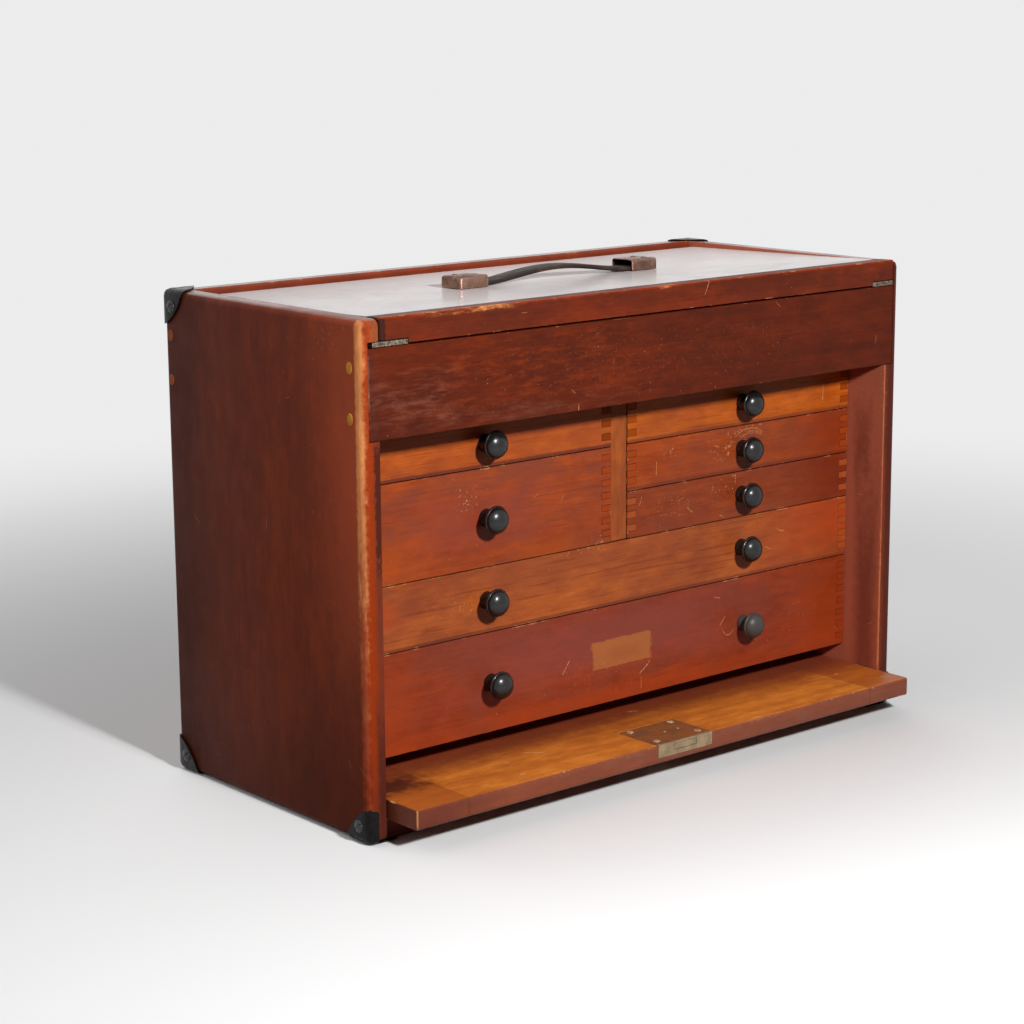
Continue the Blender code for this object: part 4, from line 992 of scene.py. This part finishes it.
def front_patches(name, woods, light, low, high):
    """Patches on a drawer front's face: its dark foot, then warm, red, dim and bare places of its own."""
    front = low[1]
    foot = ((0.5 * (low[0] + high[0]), front, low[2]), (FAR, 0.01, 0.0030), 0.5, 0.45, woods.violet,
            FOOTS.get(name, 0.0))
    if name == "deep":
        warm = toned(light, 1.25, 1.4, 1.0)
        dim = toned(woods.drawer_cloud, 1.40, 1.65, 2.3)
        bare = toned(woods.long, 1.02, 1.62, 2.3)
        grey = toned(woods.long, 0.55, 0.80, 1.3)
        gold = toned(woods.long, 0.95)
        return (foot,
                ((-0.01, front, 0.086), (0.18, 0.01, 0.032), 0.9, 0.7, dim, 0.80),
                ((0.20, front, 0.070), (0.055, 0.01, 0.06), 0.9, 0.8, warm, 0.6),
                ((0.0, front, 0.046), (0.20, 0.01, 0.010), 0.9, 0.8, warm, 0.6),
                ((-0.21, front, 0.070), (0.05, 0.01, 0.05), 0.9, 0.8, warm, 0.7),
                ((low[0], front, 0.072), (0.024, 0.01, 0.07), 0.9, 0.6, gold, 0.85),
                ((0.003, front, 0.0760), (0.0285, 0.003, 0.0102), 0.10, 0.35, bare, 0.85),
                ((0.006, front, 0.0745), (0.0200, 0.003, 0.0070), 0.80, 1.2, grey, 0.30))
    if name == "left_lower":
        warm = toned(light, 1.15, 1.45, 0.9)
        dim = toned(woods.drawer_cloud, 1.45, 1.5, 1.7)
        return (foot,
                ((-0.125, front, 0.186), (0.085, 0.01, 0.030), 0.9, 0.7, dim, 0.75),
                ((low[0], front, low[2]), (0.085, 0.01, 0.040), 0.9, 0.7, warm, 0.75),
                ((-0.06, front, low[2]), (0.045, 0.01, 0.020), 0.9, 0.7, warm, 0.6))
    if name == "long":
        red = toned(light, 0.92, 0.66, 0.8)
        return (foot,
                ((-0.205, front, 0.134), (0.022, 0.01, 0.014), 0.9, 0.8, red, 0.7),
                ((high[0], front, 0.140), (0.120, 0.01, 0.04), 0.9, 0.6, red, 0.85))
    if name == "right_middle":
        red = toned(light, 0.68, 0.60, 0.9)
        return foot, ((high[0], front, 0.205), (0.085, 0.01, 0.04), 0.9, 0.6, red, 0.7)
    if name == "right_lower":
        red = toned(light, 0.70, 0.60, 0.8)
        return foot, ((high[0], front, 0.170), (0.085, 0.01, 0.04), 0.9, 0.6, red, 0.7)
    return (foot,)


class CHEST_OT_drawers(bpy.types.Operator):
    """Ease the drawer fronts and finish fronts, boxes and bottoms"""
    bl_idname = "chest.drawers"
    bl_label = "Drawers"

    def execute(self, context):
        woods = context.scene.chest_woods
        pale_tones = (woods.pale_dark, woods.pale_light, woods.pale_dark)
        for number, name in enumerate(DRAWERS):
            body = name + "_drawer"
            front, sides, bottom = (body + part for part in ("_front", "_box", "_bottom"))
            light = getattr(woods, name)
            low, high = box_of(front)
            crowds = [((at[0], low[1], at[1]), (half[0], 0.01, half[1]), amount)
                      for at, half, amount in DRAWER_CROWDS.get(name, ())]
            made = wood(front, "X", "XZ", toned(light, 0.60, 0.50, 0.60), light, woods.drawer_cloud,
                        (low, high), woods, 11.0 + number, specular=0.15, clouding=CLOUDING.get(name, 0.55),
                        lines=LINES.get(name, 0.15), chips=0.45, chip_width=0.0008, nicks=0.35,
                        patches=front_patches(name, woods, light, low, high),
                        marks=DRAWER_MARKS.get(name, ()), crowds=crowds)
            softened(front, made, FINE_EDGE, "drawer_wood", body)
            box = box_of(sides)
            tips = ((0.5 * (low[0] + high[0]), *box[0][1:]), (FAR, 0.0006, FAR), 0.3, 0.0,
                    toned(light, *FINGER_ENDS[name]), 1.0)
            finish_node(sides, wood(sides, "Y", "YZ", *pale_tones, box, woods, 19.0 + number, roughness=0.55,
                                    chips=0.1, nicks=0.2, patches=(tips,)))
            finish_node(bottom, wood(bottom, "X", "XY", *pale_tones, box_of(bottom), woods, 27.0 + number,
                                     roughness=0.6, nicks=0.2))
        return {"FINISHED"}


def knob_profile(radius, out, groove):
    """Half outline of a knob, from the middle of its dome round the grooved rim, the coved back and the
    neck to its foot, as shares of its radius and of how far it stands out."""
    rim = 0.62 * out
    profile = np.concatenate([
        arc((0.0, rim), (0.95 * radius, 0.38 * out), 90, 12, 18),
        [(0.935 * radius, rim + 0.062 * out - groove)],
        arc((0.86 * radius, rim - 0.010 * out), (0.14 * radius, 0.068 * out), 58, -70, 10),
        arc((0.93 * radius, 0.31 * out), (0.38 * radius, 0.22 * out), 95, 180, 9),
        arc((0.93 * radius, 0.25 * out), (0.38 * radius, 0.25 * out), 180, 215, 6)[1:],
        [(0.63 * radius, 0.05 * out), (0.64 * radius, 0.0), (0.0, 0.0)]])
    profile[0, 0] = 0.0
    return profile


class CHEST_OT_knobs(bpy.types.Operator):
    """Turn the knobs: a low dome with a line round its face, a coved back, a neck and a foot"""
    bl_idname = "chest.knobs"
    bl_label = "Knobs"

    def execute(self, context):
        fittings = context.scene.chest_fittings
        black = polish("ebonised", fittings.knob_black, toned(fittings.knob_black, 3.0), 0.26, 0.42)
        worn = polish("ebonised_worn", fittings.knob_worn, toned(fittings.knob_worn, 1.6), 0.42, 0.3)
        for node in sorted(n for n in frame["nodes"] if n.endswith("_knob")):
            low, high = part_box(node)
            profile = knob_profile(0.5 * (high.x - low.x), high.y - low.y, fittings.knob_groove)
            centre = (0.5 * (low.x + high.x), high.y, 0.5 * (low.z + high.z))
            surface = turned(profile, centre, (0.0, -1.0, 0.0), fittings.knob_sides)
            body = node.split("_drawer_")[0] + "_drawer"
            finish = worn if node == "deep_drawer_right_knob" else black
            show(node + "_turned", mesh_of(node + "_turned", *surface), finish, body, "ebonised_wood", node)
        return {"FINISHED"}


class CHEST_OT_lid(bpy.types.Operator):
    """Ease the lid's board and rail, and rough out its steel strips"""
    bl_idname = "chest.lid"
    bl_label = "Lid"

    def execute(self, context):
        woods = context.scene.chest_woods
        fittings = context.scene.chest_fittings
        low, high = (tuple(corner) for corner in lid_box("lid_board"))
        # Dark, dull streaks at the lid's left back: partly real marks in the polish, partly a painted darker
        # reflection
        marks_and_dark_reflection = ((low[0], high[1], high[2]), (0.21, 0.22, 0.004), 0.8, 0.6, woods.dirt, 1.0)
        upper = ((0.0, 0.0, high[2]), (FAR, FAR, 0.002))
        made = wood("lid_board", "X", "XY", woods.lid_dark, woods.lid_light, woods.lid_dark, (low, high),
                    woods, 35.0, in_lid=True, roughness=0.32, specular=0.30, sheen=0.46, relief=0.15,
                    chips=0.1, nicks=0.3, gloss=upper, streaks=(marks_and_dark_reflection,))
        softened("lid_board", made, woods.eased, "front_wood", "lid")
        low, high = (tuple(corner) for corner in lid_box("lid_rail"))
        # end: painted shade on the rail's left end, the dark gap between it and the left side board
        end = ((low[0], low[1], 0.0), (0.0050, FAR, FAR), 0.25, 0.4, woods.dirt, 0.9)
        edge = ((0.0, low[1], high[2]), (FAR, 0.004, 0.0016), 0.7, 1.8, woods.rubbed, 0.8)
        torn = ((-0.155, low[1], high[2]), (0.040, 0.005, 0.0040), 0.7, 0.9, woods.streak, 1.0)
        rough = ((0.012, low[1], high[2]), (0.010, 0.005, 0.0030), 0.7, 0.9, woods.streak, 1.0)
        nick = ((0.0490, 0.3200 - PIVOT[2]), 67.0, 0.0064, 20.0, 0.45)
        tones = [toned(tone, 1.5) for tone in (woods.front_dark, woods.front_light, woods.front_cloud)]
        made = wood("lid_rail", "X", "XZ", *tones, (low, high), woods, 36.0, in_lid=True, chips=0.5,
                    nicks=0.5, bands=48.0, patches=(end, edge), streaks=(torn, rough), marks=(nick,))
        softened("lid_rail", made, woods.eased, "front_wood", "lid")
        rusty = metal("strip_steel", fittings.steel, fittings.steel_dull, 420.0, 0.5, metallic=0.6)
        for node in ("left_lid_strip", "right_lid_strip"):
            surface = rough_strip(*(np.array(corner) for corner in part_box(node)))
            show(node + "_rough", mesh_of(node + "_rough", *surface), rusty, "case", "bare_steel", node)
        return {"FINISHED"}


def strap_surface(low, high, mouth):
    """The strap between the corners of its box, in the lid's frame. Its middle line rises over the lid by
    cos^1.6 of a quarter turn from the middle to a cap's mouth. Its section is an ellipse with the cosine
    to the power 0.35 and the sine to the power 0.45, pressed in by a crease along each edge."""
    middle = 0.5 * (low + high)
    rise = high[2] - low[2] - STRAP_THICK
    along = np.linspace(low[0] + STRAP_INSET, high[0] - STRAP_INSET, 97)
    quarter = np.clip((along - middle[0]) / (2.0 * (mouth - middle[0])), -0.5, 0.5)
    level = low[2] + 0.5 * STRAP_THICK + rise * np.cos(math.pi * quarter) ** 1.6
    path = np.column_stack([along, np.full_like(along, middle[1]), level])
    turn = np.linspace(0.0, 2 * math.pi, 72, endpoint=False)
    half = 0.5 * (high[1] - low[1])
    across = half * np.sign(np.cos(turn)) * np.abs(np.cos(turn)) ** 0.35
    thick = 0.5 * STRAP_THICK * np.sign(np.sin(turn)) * np.abs(np.sin(turn)) ** 0.45
    crease = np.exp(-((np.abs(across) - 0.72 * half) / 0.0006) ** 2)
    section = np.column_stack([across, thick * (1.0 - 0.22 * crease)])
    return carried(section, path, (0.0, 1.0, 0.0))


class CHEST_OT_handle(bpy.types.Operator):
    """Ease the handle's caps, set their screws and carry the leather strap along its arch"""
    bl_idname = "chest.handle"
    bl_label = "Handle"

    def execute(self, context):
        fittings = context.scene.chest_fittings
        dome = screw_head(fittings.cap_screw_radius, 0.0007, 0.0008, 9)
        screws = []
        for node, hand in (("left_handle_cap", -1), ("right_handle_cap", 1)):
            made = metal(node, fittings.bronze, fittings.bronze_dull, 130.0, 0.30, box_of(node),
                         toned(fittings.bronze, 1.3))
            softened(node, made, CAP_EDGE, "cap_bronze", "lid")
            low, high = lid_box(node)
            middle = 0.5 * (low + high)
            for off, lean in ((-0.005, 0.6), (0.0055, 2.1)):
                at = (middle[0] + hand * 0.0035, middle[1] + off, high[2])
                points, quads = turned(dome, at, (0.0, 0.0, 1.0), 40, (0.0005, 0.00045, lean))
                screws.append((from_lid(points), quads))
        made = metal("cap_screw_bronze", fittings.bronze, fittings.bronze_dull, 400.0, 0.32)
        show("cap_screws", mesh_of("cap_screws", *joined(*screws)), made, "lid", "cap_bronze")
        points, quads = strap_surface(*lid_box("handle_strap"), lid_box("right_handle_cap")[0][0])
        mesh = mesh_of("leather_strap", from_lid(points), quads)
        show("leather_strap", mesh, hide("strap_leather", fittings), "strap", "strap_leather", "handle_strap")
        return {"FINISHED"}


# Scratches on the drop front's inner face: place (x, y), angle, reach, bend and share
PANEL_MARKS = (((0.0726, -0.1203), 0.0, 0.0050, 0.0, 0.9), ((0.0186, -0.0536), -25.0, 0.0045, 0.0, 0.5),
               ((0.1954, -0.0823), 10.0, 0.0022, 0.0, 0.6), ((0.2143, -0.1096), 30.0, 0.0018, 0.0, 0.6),
               ((-0.0948, -0.0805), -34.0, 0.0085, 12.0, 0.7), ((-0.1297, -0.1101), 8.0, 0.0030, 0.0, 0.6),
               ((-0.1623, -0.1118), 40.0, 0.0024, 0.0, 0.5), ((-0.1226, -0.0849), 12.0, 0.0030, 0.0, 0.5))


def panel_wood(woods):
    """The drop front's finish: golden at its front and darker behind, a painted shade of the drawers above
    that runs back over the part put away, with cleated ends, dull edges, a stain at the left and grime round
    the lock."""
    box = box_of("drop_front")
    (left, front, foot), (right, _, top) = box
    edge = woods.panel_edge
    face = ((0.0, front, foot), (FAR, 0.0010, FAR), 0.5, 0.3, woods.panel_front, 0.92)
    corner = ((left, front, foot), (0.085, 0.0016, FAR), 0.9, 0.5, woods.violet, 0.65)
    ends = [((x, 0.0, foot), (0.0010, FAR, FAR), 0.5, 0.3, woods.violet, 0.92) for x in (left, right)]
    under = ((0.0, 0.0, foot), (FAR, FAR, 0.0012), 0.5, 0.3, edge, 0.92)
    # shade and gloom: painted shade of the drawers above the inner face, darkest at the gap and running back
    # over the part put away in the slot; gloom deepens it at the right
    shade = ((0.0, front + 0.222, top), (FAR, 0.184, 0.002), 0.20, 0.1, edge, 0.95)
    gloom = ((0.19, front + 0.070, top), (0.11, 0.044, 0.002), 0.95, 0.5, edge, 0.45)
    stain = ((left + 0.016, front + 0.048, top), (0.036, 0.020, 0.002), 0.8, 1.2, woods.dirt, 0.92)
    ring = ((0.0, front + 0.024, top), (0.040, 0.030, 0.002), 0.8, 0.8, woods.dirt, 0.35)
    broken = ((left, front, top - 0.004), (0.0012, 0.0012, 0.010), 0.5, 0.7, woods.chipped, 0.9)
    half = 0.5 * CLEAT_WIDTH
    tone = toned(woods.panel_dark, 0.68, 0.82, 1.1)
    cleats = [((hand * (right - half), 0.0, top), (half, FAR, 0.004), 0.06, 0.10, tone, 0.65)
              for hand in (-1, 1)]
    joints = [((hand * (right - CLEAT_WIDTH), 0.0, top), (0.0004, FAR, 0.020), 0.5, 0.3, woods.dirt, 0.7)
              for hand in (-1, 1)]
    bloom = ((0.04, front, 0.5 * (foot + top)), (0.20, 0.002, 0.010), 0.9, 0.9, woods.milky, 0.70)
    flecks = (((0.0, front + 0.004, top), (0.22, 0.008, 0.004), 0.6),
              ((-0.10, front + 0.040, top), (0.12, 0.030, 0.002), 0.3))
    return wood("drop_front", "X", "XY", woods.panel_dark, woods.panel_light, woods.panel_dark, box, woods,
                37.0, roughness=0.36, specular=0.2, bands=60.0, chips=0.8, chip_width=0.0014, nicks=0.7,
                patches=(*cleats, face, corner, *ends, under, shade, gloom, *joints, stain, ring, broken),
                streaks=(bloom,), crowds=flecks, marks=PANEL_MARKS, mark_width=0.0016)


class CHEST_OT_drop_front(bpy.types.Operator):
    """Ease the drop front and finish its wood and its keyhole plate"""
    bl_idname = "chest.drop_front"
    bl_label = "Drop front"

    def execute(self, context):
        woods = context.scene.chest_woods
        fittings = context.scene.chest_fittings
        softened("drop_front", panel_wood(woods), woods.eased, "front_wood", "drop_front")
        finish_node("keyhole_plate", metal("keyhole_brass", fittings.brass, fittings.brass_dull, 300.0, 0.32))
        return {"FINISHED"}


class CHEST_OT_lock(bpy.types.Operator):
    """Ease the lock's case and cover, set its screws and rivets, and finish bolt and keeper"""
    bl_idname = "chest.lock"
    bl_label = "Lock"

    def execute(self, context):
        fittings = context.scene.chest_fittings
        brass = metal("lock_brass", fittings.brass, fittings.brass_dull, 120.0, 0.40, metallic=0.5)
        softened("lock_case", brass, FINE_EDGE, "lock_brass", "drop_front")
        bronze = metal("cover_bronze", fittings.cover, fittings.cover_dull, 90.0, 0.42, metallic=0.3)
        softened("lock_cover", bronze, FINE_EDGE, "cover_bronze", "drop_front")
        for node in ("lock_bolt", "lock_keeper"):
            finish_node(node, brass)
        low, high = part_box("lock_cover")
        head = screw_head(fittings.lock_screw_radius, 0.0006, 0.0006, 10)
        rivet = head * (0.42, 0.6)
        places = ((low.x + 0.0066, high.y - 0.0040, 0.5), (high.x - 0.0061, high.y - 0.0044, 1.4),
                  (high.x - 0.0060, low.y + 0.0062, 2.4), (low.x + 0.0062, low.y + 0.0063, 0.1))
        heads = [turned(head, (x, y, high.z), (0.0, 0.0, 1.0), 44, (0.0006, 0.00040, lean))
                 for x, y, lean in places]
        heads += [turned(rivet, (x, 0.5 * (low.y + high.y), high.z), (0.0, 0.0, 1.0), 24)
                  for x in RIVETS_ACROSS]
        made = metal("screw_brass", toned(fittings.brass, 1.5), fittings.brass, 330.0, 0.34, metallic=0.4)
        show("lock_screws", mesh_of("lock_screws", *joined(*heads)), made, "drop_front", "lock_brass")
        return {"FINISHED"}


class CHEST_OT_plates(bpy.types.Operator):
    """Ease the corner plates, drive their domed screws and finish the lid's pins"""
    bl_idname = "chest.plates"
    bl_label = "Corner plates"

    def execute(self, context):
        fittings = context.scene.chest_fittings
        black = fittings.plate_black
        dome = screw_head(fittings.plate_screw_radius, fittings.plate_screw_rise, 0.0009, 9)
        screws = []
        for node in sorted(n for n in frame["nodes"] if n.endswith("_plate") and n != "keyhole_plate"):
            low, high = box_of(node)
            japan = metal(node, black, toned(black, 1.6), 180.0, 0.16, (low, high), fittings.plate_bare,
                          metallic=0.0, specular=0.12, wear_width=0.0008)
            softened(node, japan, FINE_EDGE, "black_steel", "case")
            hand = -1.0 if "left" in node else 1.0
            at_back = "back" in node
            outer = low[0] if hand < 0 else high[0]
            y = high[1] - SCREW_INSET if at_back else low[1] + SCREW_INSET
            z = high[2] - SCREW_INSET if "upper" in node else low[2] + SCREW_INSET
            screws.append(turned(dome, (outer, y, z), (hand, 0.0, 0.0), 40, (0.0007, 0.0007, 0.7)))
            if at_back:
                behind = (outer - hand * SCREW_INSET, high[1], z)
                screws.append(turned(dome, behind, (0.0, 1.0, 0.0), 40, (0.0007, 0.0007, 1.9)))
        made = metal("screw_steel", toned(black, 7.0), black, 500.0, 0.22, metallic=0.0)
        show("plate_screws", mesh_of("plate_screws", *joined(*screws)), made, "case", "black_steel")
        pins = metal("pin_steel", fittings.steel, fittings.steel_dull, 300.0, 0.35)
        for node in ("left_lid_pin", "right_lid_pin"):
            finish_node(node, pins)
        return {"FINISHED"}


def mirrored_or_seen(w):
    """A mask of the rays from the camera, off a gloss or through glass, and the outputs for all rays."""
    rays = w.add("ShaderNodeLightPath").outputs
    past = w.math("MAXIMUM", rays["Is Glossy Ray"], rays["Is Transmission Ray"])
    return w.math("MAXIMUM", rays["Is Camera Ray"], past), rays


def lay_floor(stage):
    """The floor: a wide square that passes into the background away from the chest."""
    material, w, shader, place = new_material("floor")
    shown, rays = mirrored_or_seen(w)
    pale = w.math("MULTIPLY_ADD", w.noise(place, 3.0, 2.0), 0.04, 0.96)
    seen = w.blend(pale, tint(stage.floor, 0.85), tint(stage.floor))
    w.feed(shader.inputs["Base Color"], w.blend(rays["Is Diffuse Ray"], seen, tint(stage.bounce)))
    shader.inputs["Roughness"].default_value = 0.9
    away = w.fade(w.vector("LENGTH", place), stage.floor_near, stage.floor_far)
    glow = w.add("ShaderNodeEmission", {"Color": WHITE, "Strength": stage.backdrop})
    mixed = w.add("ShaderNodeMixShader", {0: w.math("MULTIPLY", shown, away), 1: shader.outputs["BSDF"],
                                          2: glow.outputs["Emission"]})
    w.feed(material.node_tree.nodes["Material Output"].inputs["Surface"], mixed.outputs["Shader"])
    points = FLOOR_HALF * np.array([(-1.0, -1.0, 0.0), (1.0, -1.0, 0.0), (1.0, 1.0, 0.0), (-1.0, 1.0, 0.0)])
    floor = bpy.data.objects.new("floor", mesh_of("floor", points, np.array([[0, 1, 2, 3]])))
    floor.data.materials.append(material)
    bpy.context.scene.collection.objects.link(floor)


def hang_key(stage):
    """The key light: a square lamp before the chest, turned to its aim."""
    lamp = bpy.data.lights.new("key", "AREA")
    lamp.energy = stage.key_power
    lamp.size = stage.key_size
    key = bpy.data.objects.new("key", lamp)
    key.location = stage.key_at
    key.rotation_euler = (Vector(stage.key_aim) - Vector(stage.key_at)).to_track_quat("-Z", "Y").to_euler()
    bpy.context.scene.collection.objects.link(key)


def surround(stage):
    """The surroundings: an even background to the eye, and light on the chest from behind and the left."""
    world = bpy.data.worlds.new("surroundings")
    world.use_nodes = True
    w = Wiring(world.node_tree)
    seen, _ = mirrored_or_seen(w)
    way = w.add("ShaderNodeVectorMath", {0: w.add("ShaderNodeTexCoord").outputs["Generated"], 1: BACK_LEFT},
                operation="DOT_PRODUCT").outputs["Value"]
    light = w.add("ShaderNodeMapRange", {"Value": way, "From Min": -0.05, "From Max": 0.55,
                                         "To Min": stage.front_light, "To Max": stage.back_light},
                  interpolation_type="SMOOTHSTEP").outputs["Result"]
    sky = world.node_tree.nodes["Background"]
    sky.inputs["Color"].default_value = WHITE
    w.feed(sky.inputs["Strength"], w.add("ShaderNodeMix", {0: seen, 2: light, 3: stage.backdrop}).outputs[0])
    bpy.context.scene.world = world


def stand_camera(stage):
    """The camera: level and looking along +Y, then turned by its yaw, pitch and roll."""
    lens = bpy.data.cameras.new("camera")
    lens.lens = stage.lens
    lens.sensor_width = SENSOR_WIDTH
    camera = bpy.data.objects.new("camera", lens)
    camera.location = stage.camera_at
    turn = Euler((0.5 * math.pi - stage.camera_pitch, 0.0, -stage.camera_yaw)).to_matrix()
    camera.rotation_euler = (turn @ Matrix.Rotation(stage.camera_roll, 3, "Z")).to_euler()
    bpy.context.scene.collection.objects.link(camera)
    bpy.context.scene.camera = camera


class CHEST_OT_stage(bpy.types.Operator):
    """Lay the floor and set the light, the surroundings and the camera"""
    bl_idname = "chest.stage"
    bl_label = "Stage"

    def execute(self, context):
        stage = context.scene.chest_stage
        lay_floor(stage)
        hang_key(stage)
        surround(stage)
        stand_camera(stage)
        context.scene.view_settings.view_transform = "Standard"
        return {"FINISHED"}


class CHEST_PT_panel(bpy.types.Panel):
    """The chest's pieces, in the order in which they are made"""
    bl_label = "Tool chest"
    bl_space_type = "VIEW_3D"
    bl_region_type = "UI"
    bl_category = "Chest"

    def draw(self, context):
        for operator in OPERATORS:
            self.layout.operator(operator.bl_idname)
        for name in GROUPS:
            group = getattr(context.scene, name)
            for prop in group.bl_rna.properties:
                if prop.identifier not in ("name", "rna_type"):
                    self.layout.prop(group, prop.identifier)


OPERATORS = (CHEST_OT_case, CHEST_OT_plugs, CHEST_OT_drawers, CHEST_OT_knobs, CHEST_OT_lid, CHEST_OT_handle,
             CHEST_OT_drop_front, CHEST_OT_lock, CHEST_OT_plates, CHEST_OT_stage)
GROUPS = {"chest_woods": ChestWoods, "chest_fittings": ChestFittings, "chest_stage": ChestStage}


def register():
    """Make the classes known and give the scene its three groups of properties."""
    for made in (*GROUPS.values(), *OPERATORS, CHEST_PT_panel):
        bpy.utils.register_class(made)
    for name, group in GROUPS.items():
        setattr(bpy.types.Scene, name, PointerProperty(type=group))


def unregister():
    """Take the properties and the classes away again."""
    for name in GROUPS:
        delattr(bpy.types.Scene, name)
    for made in reversed((*GROUPS.values(), *OPERATORS, CHEST_PT_panel)):
        bpy.utils.unregister_class(made)


def main():
    """Make every piece in order."""
    register()
    for operator in OPERATORS:
        family, name = operator.bl_idname.split(".")
        getattr(getattr(bpy.ops, family), name)()


if __name__ == "__main__":
    main()
